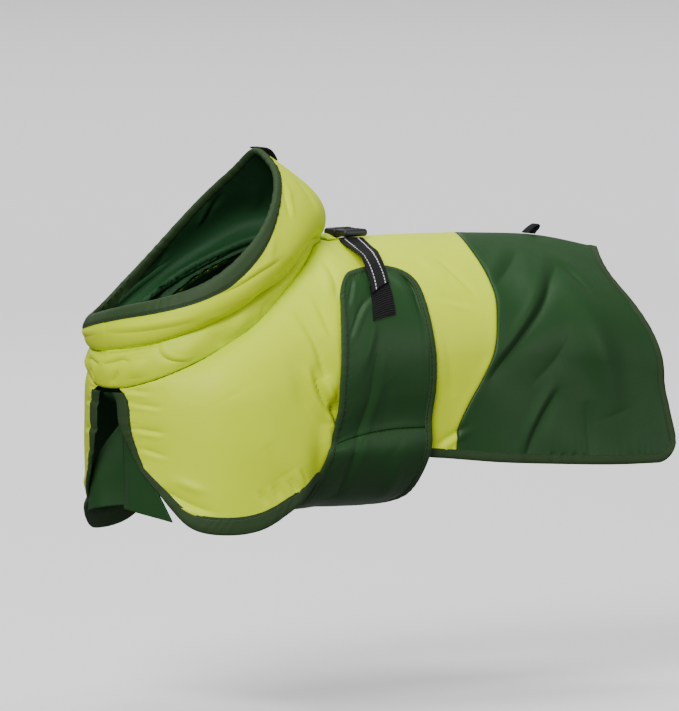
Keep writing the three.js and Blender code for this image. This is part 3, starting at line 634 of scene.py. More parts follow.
# ---- finishes ----
clothLook = {"thread": 0.0007, "weave": 0.000006, "crinkle": 0.00022, "soft": 0.0009, "fleck": 0.1, "shine": 0.2}
liningLook = {"thread": 0.0008, "weave": 0.00001, "crinkle": 0.0003, "soft": 0.001, "fleck": 0.2, "shine": 0.15}
tapeLook = {"rib": 0.0011, "weave": 0.00002, "crinkle": 0.00012, "pitch": 0.0031, "stitches": (0.0013,),
            "thread": "1c331d", "threadTone": 0.6}
shellCloth = clothFinish("shell cloth", "c8de08", "d2e60c", "bed204", 0.5, clothLook)
greenCloth = clothFinish("green cloth", "1e3f1d", "234622", "193617", 0.48, clothLook)
# lining colour: partly its own dark green, partly painted shade, darkened further to stand in for the shade inside
# the collar
shadeDarkenedLining = clothFinish("lining", "183c1e", "1e4424", "12301a", 0.62, liningLook)
bindingTape = tapeFinish("binding tape", "26391f", "2f4427", 0.62, tapeLook)
bandTape = tapeFinish("band binding tape", "22391e", "2c4627", 0.62, dict(tapeLook, thread="14240f", threadTone=0.8))
print("finishes made")


# ---- coat ----
coatFolds = (
    # line in X and Z, width, depth, skew
    (((-104, -62), (-76, -116)), 9, -1.6, 0), (((-150, -92), (-118, -150)), 15, 2.4, 0),
    (((-132, -128), (-110, -172)), 9, -1.4, 0), (((132, -28), (158, -122)), 12, 3.4, 0),
    (((-99, -40), (-90, -62), (-83, -84), (-72, -100)), 5, -3.6, 0.8),
    (((-94, -76), (-87, -96), (-74, -113)), 4.5, -4.4, 0.9),
    (((-78, -102), (-68, -120)), 4, -5, 0.7), (((-80, -116), (-79, -150)), 5, 4.5, 0),
    (((-84, -84), (-77, -100)), 4.5, 3.6, 0), (((-84, -52), (-74, -78), (-70, -92)), 6, 1.8, 0),
    (((-112, -70), (-100, -104), (-84, -128)), 9, -1.8, 0.6),
    (((-58, -9), (-60, -22), (-66, -33)), 4.5, -1.8, 0.8), (((-82, -32), (-78, -58)), 4, -1.5, 0.7),
    (((112, -12), (94, -20), (74, -30)), 5, -2.4, 0.8), (((118, -14), (100, -34), (84, -48)), 8, 2.4, 0),
    (((137, -21), (130, -25), (121, -31), (108, -43), (90, -58), (72, -74), (54, -92)), 5.5, -4.2, 0.9),
    (((137, -21), (146, -26), (152, -40)), 5, -1.8, -0.7),
    (((110, -103), (92, -128), (82, -148)), 5, -3, 0.8), (((134, -112), (136, -150)), 8, -1.4, 0),
    (((126, -60), (108, -82), (88, -98)), 10, -1.6, 0),
    (((39, -14), (51, -34)), 3.4, -1.8, 0.8), (((21, -35), (43, -42)), 3.2, -1.5, 0.8),
    (((24, -12), (36, -26)), 5, 1.2, 0), (((14, -138), (36, -124)), 3.2, -1.8, 0.9),
    (((61, -3), (57, -8)), 3.5, -1.4, 0), (((16, -60), (24, -104)), 8, -1.1, 0.4),
    (((-202, -92), (-194, -93)), 2.2, -1.4, 0.8), (((-200, -101), (-190, -103)), 2, -1.2, 0.6),
    (((-199, -118), (-189, -120)), 2.4, -1.4, 0.7), (((-197, -131), (-188, -136)), 2.2, -1.0, 0.6),
    (((-190, -158), (-178, -168), (-166, -174)), 3.2, -2, 0.9), (((-184, -152), (-170, -160)), 3, 1.1, 0),
    (((-136, -160), (-130, -170)), 2.2, -1.5, 0.8), (((-126, -156), (-120, -166)), 2.4, -1.7, 0.8),
    (((-114, -153), (-107, -162)), 2.2, -1.5, 0.8), (((-104, -146), (-97, -156)), 2.4, -1.4, 0.8),
    (((104, -146), (101, -154)), 1.8, -1.2, 0.7),
    (((113, -147), (111, -154)), 1.8, -1.2, 0.7), (((122, -147), (121, -154)), 1.8, -1.2, 0.7),
    (((131, -148), (131, -155)), 1.8, -1.2, 0.7),
)
panelCut = {"wall": 1.3, "lift": 0.15, "underBinding": 1.8, "neckGap": 0.5, "hemGather": 0.34, "slitGather": 0.3,
            "neckGather": 0.22, "seamDip": 0.9, "seamWidth": 0.9, "lumps": 0.8, "neckDip": 1.7, "farDrop": 7,
            "farShift": 5, "slitX": -190}


def foldsAt(grid, side):
    # folds and lumps, which fade out over the back; the far side's lie a little further forward
    x, z = grid[..., 0], grid[..., 2]
    onSide = smoothstep(np.abs(grid[..., 1]), 18, 46)
    folds = creaseHeight(coatFolds, x + (panelCut["farShift"] if side > 0 else 0), z)
    return folds * np.where(x < panelCut["slitX"], 1, onSide) + lumps(grid, side) * panelCut["lumps"] * onSide


def coatLift(grid, side, slit, seam, top, hem, openShare):
    # how far the cloth stands off its plain shape, from its distances to its edges
    x, z = grid[..., 0], grid[..., 2]
    lift = foldsAt(grid, side)
    lift += panelCut["hemGather"] * np.exp(-hem / 5.5) * ripple(x, side) * (0.7 + 0.5 * np.sin(x / 21))
    lift += panelCut["slitGather"] * np.exp(-slit / 5) * ripple(z, 2 + side)
    lift += panelCut["neckGather"] * np.exp(-top / 6) * ripple(slit * 0.9, side) * openShare
    lift -= panelCut["seamDip"] * np.exp(-((seam / panelCut["seamWidth"]) ** 2))
    lift -= panelCut["neckDip"] * np.exp(-top / 1.1) * openShare
    return lift + 0.16 * np.exp(-(((seam - 4) / 2.6) ** 2))


def setSide(grid, side):
    # puts a half of the coat on its side; the flap on the far side of the chest hangs a little lower
    if side > 0:
        drop = smoothstep(-grid[..., 2], 85, 165) * smoothstep(-grid[..., 0], 70, 130)
        grid[..., 2] -= panelCut["farDrop"] * drop
    grid[..., 1] *= side


def coatPanel(name, finish, nodes, slot, columns, rows, alongAt, seamFirst):
    panel = Sheet()
    for side in (-1, 1):
        share = np.linspace(0, 1, rows + 1)[None, :]
        t = np.linspace(0, 1, columns + 1)[:, None]
        along = alongAt(t, share)
        top = insetFromNeck(along, panelCut["neckGap"])
        hem = insetFromHem(alongAt(t, np.ones_like(share)), -panelCut["underBinding"])
        grid = coatHalf(along, lerp(top, hem, share))
        normal = gridNormals(grid)
        acrossRun, downRun = lengthAlong(grid, 0), lengthAlong(grid, 1)
        leftAway, rightAway = acrossRun, acrossRun[-1:] - acrossRun
        slit, seam = (np.full(grid.shape[:2], 1e3), leftAway) if seamFirst else (leftAway, rightAway)
        lift = coatLift(grid, side, slit, seam, downRun, downRun[:, -1:] - downRun, neckShare(along))
        wall = panelCut["wall"]
        inner = grid + normal * (panelCut["lift"] + lift)[..., None]
        outer = grid + normal * (panelCut["lift"] + lift + wall)[..., None]
        onSpine = along[:, 0] * (cutCount - 1) >= cutAtWithers
        for face in (inner, outer):
            face[onSpine, 0, 1] = 0
            setSide(face, side)
        panel.add(outer, inner, np.stack([acrossRun, downRun], -1))
    return panel.piece(name, (finish, shadeDarkenedLining), nodes, slot)


halfSeamGap = 0.15 / 600  # in mm, as a share of the length along half of the coat


def bodyAlong(t, share):
    fromSlit = insetFromSlit(share, -panelCut["underBinding"])
    toWithers = neckEnd / (cutCount - 1)
    toSeam = seamAlong(share) - halfSeamGap
    split = 0.72
    front = lerp(fromSlit, toWithers, t / split)
    rear = lerp(toWithers, toSeam, (t - split) / (1 - split))
    return np.where(t <= split, front, rear)


def rearAlong(t, share):
    rear = insetFromRear(share, -panelCut["underBinding"])
    return lerp(seamAlong(share) + halfSeamGap, rear, 1 - (1 - t) ** 1.3)


bodyPanel = coatPanel("bodyPanel", shellCloth, ["body_panel"], "shell", 186, 132, bodyAlong, False)
rearPanel = coatPanel("rearPanel", greenCloth, ["rear_panel"], "green", 150, 160, rearAlong, True)


# ---- edge binding ----
def tapeSection(wall, puff):
    # round a folded tape, from its inner edge over the cloth to the fold and back underneath
    return [(0.0, wall + 0.12), (0.05, wall + puff), (0.25, wall + puff + 0.1), (0.55, wall + puff + 0.05),
            (0.85, wall + puff), (0.96, wall * 0.8), (1.0, wall / 2), (0.96, wall * 0.2), (0.85, -puff),
            (0.55, -puff - 0.05), (0.25, -puff - 0.1), (0.05, -puff), (0.0, -0.12)]


def sectionPlaces(section, width):
    return [w * width for w, _ in section]


coatTapeSection = tapeSection(1.6, 0.36)


def placesAlong(stretches, counts):
    # places along an outline, with a count of them for each of its stretches
    return np.concatenate([np.linspace(low, high, count)[int(low > 0):]
                           for low, high, count in zip(stretches, stretches[1:], counts)])


slitShare, cornerShare, hemShare = 0.16, 0.78, 0.84


def edgePath(t, w):
    # the coat's edge from the top of the slit round the hem to the spine; w 0 is the tape's inner edge
    slitIn, rearIn = insetFromSlit(1.0, 0), insetFromRear(1.0, 0)
    cornerDown = lambda along: insetFromHem(along, 0)
    t, w = np.broadcast_arrays(t, w)
    down = np.clip(t / slitShare, 0, 1)
    alongHem = np.clip((t - slitShare) / (hemShare - slitShare), 0, 1)
    up = np.clip((t - hemShare) / (1 - hemShare), 0, 1)
    topIn = insetFromNeck(np.zeros_like(down), coat["slitTapeGap"])
    slitLine = (lerp(insetFromSlit(down, 0), 0, w),
                lerp(lerp(topIn, cornerDown(np.full_like(down, slitIn)), down), lerp(topIn, 1, down), w))
    inHem = lerp(slitIn, rearIn, alongHem)
    hemLine = (lerp(inHem, alongHem, w), lerp(cornerDown(inHem), 1, w))
    rearDown = 1 - up
    rearLine = (lerp(insetFromRear(rearDown, 0), 1, w),
                lerp(rearDown * cornerDown(np.full_like(up, rearIn)), rearDown, w))
    pick = lambda k: np.where(t < slitShare, slitLine[k], np.where(t <= hemShare, hemLine[k], rearLine[k]))
    return coatHalf(pick(0), pick(1))


def edgeBinding():
    ts = placesAlong((0, slitShare, cornerShare, hemShare, 1), (60, 250, 60, 70))
    halves = []
    for side in (-1, 1):
        plain = edgePath(ts[:, None], np.array([[0.5]]))[:, 0]
        run = lengthAlong(plain[None], 1)[0]
        waver = foldsAt(plain, side) + 0.12 * ripple(run, side)
        rings = ringsAlong(edgePath, ts, coatTapeSection, 1, waver=waver)
        rings[-1, :, 1] = 0
        setSide(rings, side)
        halves.append(rings)
    rings = np.concatenate((halves[0], halves[1][-2::-1]))
    return tubePiece("edgeBinding", rings, sectionPlaces(coatTapeSection, coat["frontBinding"]), [bindingTape],
                     ["edge_binding"])


coatBinding = edgeBinding()
print("coat made")


# ---- collar ----
collarCut = {"wall": 1.4, "liningWall": 0.9, "liningGap": 0.9, "rim": 9, "columns": 360, "rows": 108,
             "liningColumns": 300, "liningRows": 90, "footDip": 1.7, "gather": 0.25, "rimGather": 0.07,
             "overhang": 2.6, "rimTop": 10.3, "rimNarrow": 0.55}
collarScale = (200, 66)
collarCreases = (
    # line in mm round the collar from its back and up it, width, depth, skew
    (((0.99, 0.53), (0.882, 0.515), (0.8, 0.475), (0.754, 0.47), (0.654, 0.45), (0.566, 0.39), (0.506, 0.29),
      (0.446, 0.2), (0.36, 0.15)), 2.2, -3, -0.5),
    (((1.0, 0.44), (0.935, 0.45), (0.847, 0.44), (0.79, 0.42)), 2, -2.6, -0.6),
    (((0.8, 0.46), (0.79, 0.32), (0.764, 0.2), (0.724, 0.1)), 1.8, -1.6, 0.8),
    (((0.995, 0.3), (0.92, 0.34), (0.89, 0.3)), 2.6, -2.2, 0.4),
    (((0.96, 0.08), (0.93, 0.22)), 3, -1.8, 0.5), (((0.86, 0.1), (0.85, 0.3)), 5, 1.6, 0),
    (((0.725, 0.08), (0.72, 0.34)), 6, 1.8, 0), (((0.64, 0.06), (0.66, 0.34)), 4, -1.6, 0.3),
    (((0.6, 0.1), (0.58, 0.32)), 4.5, 1.4, 0), (((0.54, 0.05), (0.52, 0.22)), 2.6, -1.3, 0.5),
    (((0.62, 0.8), (0.52, 0.72), (0.44, 0.6)), 3, -1.2, 0.8), (((0.24, 0.9), (0.31, 0.76)), 2.4, -1.4, 0.8),
    (((0.2, 0.9), (0.25, 0.8)), 2.4, 0.8, 0), (((0.98, 0.7), (0.84, 0.66), (0.7, 0.62)), 3, -1, 0.7),
    (((0.9, 0.9), (0.74, 0.86)), 3, 0.6, 0), (((0.4, 0.86), (0.47, 0.7)), 3, 0.7, 0.4),
    (((0.12, 0.7), (0.2, 0.42)), 5, -1, 0.5), (((0.58, 0.52), (0.5, 0.44), (0.42, 0.3)), 3, -1, 0.7),
    (((0.68, 0.56), (0.62, 0.5)), 2.4, -0.9, 0.7), (((0.36, 0.3), (0.28, 0.22)), 3, -1, 0.6),
)


def collarExtra(around, up):
    half = np.abs(roundPlace(around))
    shift = np.where(roundPlace(around) > 0, 0.03, 0)
    a, b = (half + shift) * collarScale[0], up * collarScale[1]
    lines = tuple((tuple((p * collarScale[0], q * collarScale[1]) for p, q in line), width, depth, skew)
                  for line, width, depth, skew in collarCreases)
    round_ = a * np.where(roundPlace(around) > 0, 1, -1)
    extra = creaseHeight(lines, a, b) * smoothstep(up, 0.0, 0.08)
    extra += collarCut["gather"] * ripple(round_, 1) * np.exp(-b / 5)
    extra += collarCut["rimGather"] * ripple(round_, 2) * np.exp(-(collarScale[1] - 9 - b) / 4)
    extra += 0.5 * np.sin(round_ / 17 + 1.2 * np.sin(b / 14)) * np.sin(b / 12 + 0.6 * np.sin(round_ / 23))
    return extra * smoothstep(1 - up, -0.1, 0.12)


def dressedCollar(around, up):
    # the roll above the main crease hangs over it at the sides of the neck
    grid = collarSurface(around, up, collarExtra(around, up))
    half = np.abs(roundPlace(around))
    crease = smoothAt(collarSlouch["crease"], half * (len(collarSlouch["crease"]) - 1))
    chord = mouthPoint(around) - neckPoint(around)
    chord /= np.linalg.norm(chord, axis=-1, keepdims=True)
    hang = collarCut["overhang"] * smoothstep(half, 0.2, 0.5) * np.exp(-(((up - crease - 0.07) / 0.06) ** 2))
    return grid - chord * hang[..., None]


def rimShare(around):
    # the rim's tape turns in behind the neck, so that less of it shows outside
    return lerp(collarCut["rimNarrow"], 1, smoothstep(np.abs(roundPlace(around)), 0.2, 0.55))


def collarTube(name, finish, nodes, slot, innerLift, wall, columns, rows):
    around = np.linspace(-1, 1, columns + 1)[:, None]
    chord = apart(mouthPoint(around), neckPoint(around))
    tucked = collarCut["rim"] - 2 - collarCut["rimTop"] * (1 - rimShare(around))
    up = lerp(0, 1 - tucked / chord, np.linspace(0, 1, rows + 1)[None, :])
    grid = dressedCollar(around, up)
    normal = np.concatenate([gridNormals(grid[:-1], True)] * 2)[: columns + 1]
    foot = np.exp(-up * chord / 1.1) * collarCut["footDip"]
    inner = grid + normal * (innerLift - foot)[..., None]
    outer = inner + normal * wall
    uv = np.stack([lengthAlong(grid, 0), lengthAlong(grid, 1)], -1)
    return Sheet().add(outer, inner, uv).piece(name, (finish, shadeDarkenedLining), nodes, slot)


collarPiece = collarTube("collar", shellCloth, ["collar"], "shell", 0.1, collarCut["wall"],
                         collarCut["columns"], collarCut["rows"])
liningPiece = collarTube("collarLining", shadeDarkenedLining, ["collar_lining"], "lining",
                         -collarCut["liningGap"] - collarCut["liningWall"], collarCut["liningWall"],
                         collarCut["liningColumns"], collarCut["liningRows"])
rimSection = [(0.0, 1.75), (0.6, 2.15), (3.0, 2.3), (6.5, 2.3), (9.0, 1.9), (10.0, 0.9), (10.3, 0.1), (10.0, -0.7),
              (9.0, -1.4), (6.5, -1.9), (3.0, -1.9), (0.6, -1.8), (0.0, -1.4)]


def rimPath(t, rise):
    chord = apart(mouthPoint(t), neckPoint(t))
    up = 1 + (collarCut["rimTop"] - (collarCut["rimTop"] - rise) * rimShare(t) - collarCut["rim"]) / chord
    return collarSurface(t, up, collarExtra(t, np.minimum(up, 1.0)))


def mouthBinding():
    around = np.linspace(-1, 1, 401)[:-1]
    waver = 0.03 * ripple(around * collarScale[0], 3)
    rings = ringsAlong(rimPath, around, rimSection, 1, True, waver)
    return tubePiece("collarBinding", rings, sectionPlaces(rimSection, 1), [bindingTape], ["collar_binding"],
                     closed=True)


rimPiece = mouthBinding()
print("collar made")


# ---- chest gusset ----
gusset = {"bow": 200, "wall": 1.3, "pleat": 28, "pleatAt": 14, "pleatWidth": 14}
gussetRows = table("half z inset", (12, -96, 5), (25, -124, 4.6), (38, -152, 4.2), (51, -181, 4.6))


def chestGusset():
    # the inner chest panel hangs in one deep pleat between the flaps
    down = np.linspace(0, 1, 81)[None, :]
    across = np.linspace(-1, 1, 121)[:, None]
    row = {key: smoothAt(column, down * (len(column) - 1)) for key, column in gussetRows.items()}
    y = row["half"] * across
    z = row["z"] + 0 * across + 7 * np.cos(np.pi / 2 * across) * smoothstep(down, 0.5, 1)
    x = neckSeam["x"][-1] + y * y / gusset["bow"] + row["inset"] + 1.2 * (1 - across**2)
    pleat = np.exp(-(((y - gusset["pleatAt"]) / gusset["pleatWidth"]) ** 2))
    x = x + gusset["pleat"] * pleat * smoothstep(down, 0, 0.25)
    x = x + 0.5 * np.sin(z / 9 + across * 3) + 0.4 * np.sin(y / 7 + z / 17)
    outer = points(x, y, z)
    return Sheet().add(outer, outer + [gusset["wall"], 0, 0], np.stack([y + 0 * z, z], -1)).piece(
        "chestGusset", (greenCloth, shadeDarkenedLining), ["chest_gusset"], "green")


gussetPiece = chestGusset()


# ---- belly band ----
band = {"binding": 6, "overlap": 1.4, "cornerFront": 13, "cornerRear": 20, "rowHeight": 10.6, "middle": 11,
        "seam": 7.3, "halfSeamGap": 0.005, "wall": 1.3, "lift": 0.15, "seamDip": 0.7, "width": 80}
bandCreases = (
    # line across and down the band, in mm from its front edge and top, width, depth, skew
    (((30, 22), (18, 26), (6, 35)), 2.8, -1.8, 0.8), (((30, 35), (24, 42), (18, 51)), 4, 1.2, 0),
    (((30, 48), (26, 64), (22, 88)), 5, -1.6, 0.8), (((62, 8), (68, 20), (71, 36)), 3.4, -2, 0.7),
    (((64, 3), (74, 12)), 2.6, -1.5, 0.8), (((54, 12), (62, 20), (72, 23)), 3, 1.2, 0),
    (((14, 8), (8, 20)), 3, -1.2, 0.6), (((44, 4), (50, 14)), 3, -1, 0.6),
    (((22, 84), (26, 98)), 6, -2.2, 0.4), (((58, 82), (70, 100)), 6, 1.4, 0), (((40, 60), (46, 84)), 9, -1, 0),
    (((6, 96), (30, 112), (60, 118)), 9, -1.4, 0.3),
)


def bandWidth(place):
    return smoothAt(bandEdges["rear"], place) - smoothAt(bandEdges["front"], place)


def bandLiftAt(across, place, side):
    a = across * bandWidth(place)
    b = place * band["rowHeight"]
    lift = creaseHeight(bandCreases, a + (3 if side > 0 else 0), b)
    edge = np.minimum(np.minimum(a, bandWidth(place) - a), b)
    lift += 0.2 * np.exp(-np.maximum(edge - 5, 0) / 4) * ripple(np.where(b < a, a, b), side)
    puff = 0.9 * smoothstep(edge, 2, 14)
    return lift + puff + 0.35 * np.sin(a / 11 + side) * np.sin(b / 17)


def bandAcross(t, place):
    # places across the band, kept inside its rounded top corners
    depth = band["binding"] - band["overlap"]
    high = place * band["rowHeight"]
    bounds = []
    for radius in (band["cornerFront"], band["cornerRear"]):
        reach = np.sqrt(np.maximum((radius - depth) ** 2 - np.maximum(radius - high, 0) ** 2, 0))
        bounds.append(np.where(high < radius, radius - reach, depth) / bandWidth(place))
    return lerp(bounds[0], 1 - bounds[1], t)


def bandWall(side, across, place, seamAway):
    grid = bandSurface(across, place)
    normal = gridNormals(grid)
    lift = band["lift"] + bandLiftAt(across, place, side) - band["seamDip"] * np.exp(-seamAway / 0.9)
    inner = grid + normal * lift[..., None]
    outer = inner + normal * band["wall"]
    for face in (inner, outer):
        face[place == band["middle"], 1] = 0
        face[..., 1] *= side
    return outer, inner, np.stack([across * band["width"], place * band["rowHeight"]], -1)


def bandPanels():
    t = np.linspace(0, 1, 91)[:, None]
    top = (band["binding"] - band["overlap"]) / band["rowHeight"]
    down = lerp(top, band["seam"] - band["halfSeamGap"], np.linspace(0, 1, 121)[None, :])
    below = lerp(band["seam"] + band["halfSeamGap"], band["middle"], np.linspace(0, 1, 91)[None, :])
    made = []
    for side, word in ((-1, "Left"), (1, "Right")):
        place = down + 0 * t
        wall = bandWall(side, bandAcross(t, down), place, (band["seam"] - place) * band["rowHeight"])
        made.append(Sheet().add(*wall).piece(f"bandSide{word}", (greenCloth, shadeDarkenedLining),
                                             [f"band_side_{word.lower()}"], "green"))
    belly = Sheet()
    for side in (-1, 1):
        place = below + 0 * t
        belly.add(*bandWall(side, bandAcross(t, below), place, (place - band["seam"]) * band["rowHeight"]))
    made.append(belly.piece("bandBelly", (greenCloth, shadeDarkenedLining), ["band_belly"], "green"))
    return made


bandStretches = (0, 0.4, 0.45, 0.53, 0.6, 1)


def bandEdge(t, w):
    # the outline of half the band, from the middle of the belly up its front edge, over the top and down
    # the rear edge; w 0 is the tape's inner edge
    t, w = np.broadcast_arrays(np.asarray(t, float), np.asarray(w, float))
    depth = band["binding"] * (1 - w)
    at = [np.clip((t - low) / (high - low), 0, 1) for low, high in zip(bandStretches, bandStretches[1:])]
    stretch = np.clip(np.searchsorted(bandStretches, t, side="left") - 1, 0, 4)
    high, bottom = band["rowHeight"], band["middle"]
    front, rear = band["cornerFront"], band["cornerRear"]
    turnFront, turnRear = at[1] * np.pi / 2, at[3] * np.pi / 2
    inFront = front - (front - depth) * np.cos(turnFront)
    inRear = rear - (rear - depth) * np.sin(turnRear)
    place = np.choose(stretch, (
        lerp(bottom, front / high, at[0]), (front - (front - depth) * np.sin(turnFront)) / high, depth / high,
        (rear - (rear - depth) * np.cos(turnRear)) / high, lerp(rear / high, bottom, at[4])))
    width = bandWidth(np.minimum(place, bottom))
    across = np.choose(stretch, (depth / width, inFront / width, lerp(front / width, 1 - rear / width, at[2]),
                                 1 - inRear / width, 1 - depth / width))
    return bandSurface(across, place)


bandTapeSection = tapeSection(1.6, 0.34)


def bandBinding():
    ts = placesAlong(bandStretches, (130, 40, 40, 50, 130))
    halves = []
    for side in (-1, 1):
        plain = bandEdge(ts[:, None], np.array([[0.5]]))[:, 0]
        run = lengthAlong(plain[None], 1)[0]
        rings = ringsAlong(bandEdge, ts, bandTapeSection, -1, waver=0.12 * ripple(run, side))
        rings[[0, -1], :, 1] = 0
        rings[..., 1] *= side
        halves.append(rings)
    rings = np.concatenate((halves[0], halves[1][-2:0:-1]))
    return tubePiece("bandBinding", rings, sectionPlaces(bandTapeSection, band["binding"]), [bandTape],
                     ["band_binding"], closed=True)


bandPieces = bandPanels()
bandTapePiece = bandBinding()
print("band made")


# ---- straps and elastics ----
webbing = {"width": 20, "wall": 1.5, "lift": 2.0, "overBand": 7.2, "elasticLift": 5.4, "elasticWall": 1.6}
strapEnds = {"top": (-9, 0.07, 0), "foot": (-30, 0.36, 0.016)}
elasticEnds = {"top": (-28, 0.335, 0.012), "foot": (-34, 0.455, 0.003)}


def webbingFinish():
    board = Board("webbing", 0.72, Specular_IOR_Level=0.2)
    u, v = board.clothPlaces()
    where = board.objectPlaces()
    chevron = ((v * 1800).math("PINGPONG", 1.0) + u * 1100).math("FRACT")
    rib = (u * 4200).math("SINE")
    tone = board.mix(chevron, linear("0b0b0c"), linear("161618"))
    height = chevron * 0.00012 + rib * 0.00005
    for line in (0.0046, 0.0154):
        thread = stitchRow(u, v, line, 0.00045, 0.0031, 0.3)
        tone = board.mix(thread, tone, linear("c9cacd"))
        height = height + thread * 0.0003
    board.colour(tone)
    board.rough(0.75 - board.noise(where, 300, 2.0) * 0.15)
    board.relief(height)
    return board.finish


def elasticFinish():
    board = Board("elastic", 0.78, Specular_IOR_Level=0.2)
    u, v = board.clothPlaces()
    rib, cord = u.wave(0.0017), v.wave(0.0009)
    board.colour(board.mix(rib * 0.4 + 0.5, linear("060607"), linear("1a1a1c")))
    board.relief(rib * 0.0003 + cord * 0.00005)
    return board.finish


def plainTapeFinish():
    board = Board("black tape", 0.75, Specular_IOR_Level=0.2)
    u, v = board.clothPlaces()
    rib = u.wave(0.0012) * v.wave(0.0012)
    board.colour(board.mix(rib * 0.5 + 0.5, linear("09090a"), linear("171719")))
    board.relief(rib * 0.00008)
    return board.finish


strapFinish, elasticTape, blackTape = webbingFinish(), elasticFinish(), plainTapeFinish()


def webbingStrip(name, finish, nodes, side, ends, liftAt, wall, roll):
    (x0, share0, slant0), (x1, share1, slant1) = ends["top"], ends["foot"]
    half = webbing["width"] / 2
    flat = np.linspace(-1, 1, 11)
    section = [(w, wall) for w in flat[1:-1]] + [(1, wall * 0.75), (1, wall * 0.25)]
    section += [(w, 0) for w in flat[-2:0:-1]] + [(-1, wall * 0.25), (-1, wall * 0.75)]
    ts = np.linspace(0, 1, 91)

    def surface(t, w):
        share = lerp(share0, share1, t) - w * lerp(slant0, slant1, t)
        return coatHalf(alongAtX(lerp(x0, x1, t) + w * half, share), share)

    rings = ringsAlong(surface, ts, section, -1)
    across = np.array([w for w, _ in section])[None, :]
    share = lerp(share0, share1, ts)[:, None] - across * lerp(slant0, slant1, ts)[:, None]
    middle = surface(ts[:, None], np.array([[-1.0, 0.0, 1.0]]))
    normal = gridNormals(middle)[:, 1:2]
    lift = liftAt(share) + roll(ts[:, None], across)
    rings = rings - normal * lift[..., None]
    rings[..., 1] *= side
    places = [half * (1 + w) for w, _ in section]
    return tubePiece(name, rings, places, [finish], nodes, smoothAngle=40)


def strapRoll(t, w):
    # the strap's edges lift and buckle a little where it bends off the back
    bend = np.exp(-(((t - 0.52) / 0.12) ** 2)) * w * w
    return 0.9 * bend + 0.5 * np.sin(9 * t + w) * smoothstep(t, 0.1, 0.3) * (1 - t)


def strapHeight(share):
    return lerp(webbing["lift"], webbing["overBand"], smoothstep(share, 0.08, 0.28))


for side, word in ((-1, "left"), (1, "right")):
    webbingStrip(f"strap{word.title()}", strapFinish, [f"strap_{word}"], side, strapEnds, strapHeight,
                               webbing["wall"], strapRoll)
    webbingStrip(f"elastic{word.title()}", elasticTape, [f"elastic_{word}"], side, elasticEnds,
                               lambda share: 0 * share + webbing["elasticLift"], webbing["elasticWall"],
                               lambda t, w: 0 * t * w)
print("straps made")


# ---- buckle ----
buckle = {"x": -6, "y": -1, "length": 26, "width": 20, "height": 5.2, "bottom": 3.3}


def plasticFinish():
    board = Board("buckle plastic", 0.4)
    where = board.objectPlaces()
    grain = board.noise(where, 2500, 2.0)
    board.colour(board.mix(board.noise(where, 60, 2.0), linear("121214"), linear("1c1c1f")))
    board.rough(0.36 + grain * 0.16)
    board.relief(grain * 0.00004)
    return board.finish


buckleFinish = plasticFinish()


def addBlock(size, at):
    bpy.ops.object.select_all(action="DESELECT")
    bpy.ops.mesh.primitive_cube_add(size=1, location=[v * mm for v in at], scale=[v * mm for v in size])
    block = bpy.context.object
    bpy.ops.object.transform_apply(location=True, rotation=True, scale=True)
    return block


def applyModifier(piece, kind, **settings):
    bpy.ops.object.select_all(action="DESELECT")
    piece.select_set(True)
    bpy.context.view_layer.objects.active = piece
    modifier = piece.modifiers.new("step", kind)
    for key, value in settings.items():
        setattr(modifier, key, value)
    bpy.ops.object.modifier_apply(modifier="step")


def cutAway(piece, tool):
    applyModifier(piece, "BOOLEAN", operation="DIFFERENCE", object=tool, solver="EXACT")
    bpy.data.objects.remove(tool)


def joinTo(piece, extra):
    applyModifier(piece, "BOOLEAN", operation="UNION", object=extra, solver="EXACT")
    bpy.data.objects.remove(extra)


def buckleHalf(name, side, nodes):
    middleX, seamY = buckle["x"], buckle["y"] + side * 0.15
    long, wide, tall = buckle["length"] / 2 - 0.15, buckle["width"], buckle["height"]
    z = buckle["bottom"] + tall / 2
    at = lambda a, b, c=0.0: (middleX + a, seamY + side * b, z + c)
    shell = addBlock((wide, long, tall), at(0, long / 2))
    applyModifier(shell, "BEVEL", width=2.1 * mm, segments=5, limit_method="ANGLE")
    cutAway(shell, addBlock((wide - 5, 3.2, tall + 2), at(0, long - 4.6)))
    if side < 0:
        for edge in (-1, 1):
            cutAway(shell, addBlock((3.6, 6.2, tall * 0.5), at(edge * (wide / 2 - 0.6), 4.8)))
            joinTo(shell, addBlock((2.6, 5.2, tall * 0.4), at(edge * (wide / 2 - 1.6), 4.8)))
        cutAway(shell, addBlock((8, 4.5, 1.6), at(0, 5.2, tall / 2)))
    else:
        cutAway(shell, addBlock((wide - 5, 2.2, tall + 2), at(0, long - 9.4)))
        for step in range(3):
            joinTo(shell, addBlock((wide - 9, 0.7, 0.8), at(0, 1.6 + 1.5 * step, tall / 2 + 0.2)))
    applyModifier(shell, "BEVEL", width=0.35 * mm, segments=2, limit_method="ANGLE", angle_limit=math.radians(50))
    shell.name = shell.data.name = name
    shell.data.materials.clear()
    shell.data.materials.append(buckleFinish)
    shell.data.shade_smooth()
    shell.data.set_sharp_from_angle(angle=math.radians(35))
    return register(shell, nodes)


buckleHalf("buckleLeft", -1, ["buckle_left"])
buckleHalf("buckleRight", 1, ["buckle_right"])
print("buckle made")


# ---- small trims ----
welt = {"fromX": -26, "toX": -18.2, "halfWidth": 7, "rise": 2.4, "lift": 2.1, "wall": 1.1, "fall": 120}
loop = {"width": 12, "drop": 17, "bulge": 3.6, "lift": 1.5, "wall": 1.2}
tab = {"x": 147.5, "length": 9, "height": 5.4, "width": 8, "lift": 1.9, "wall": 1.1}


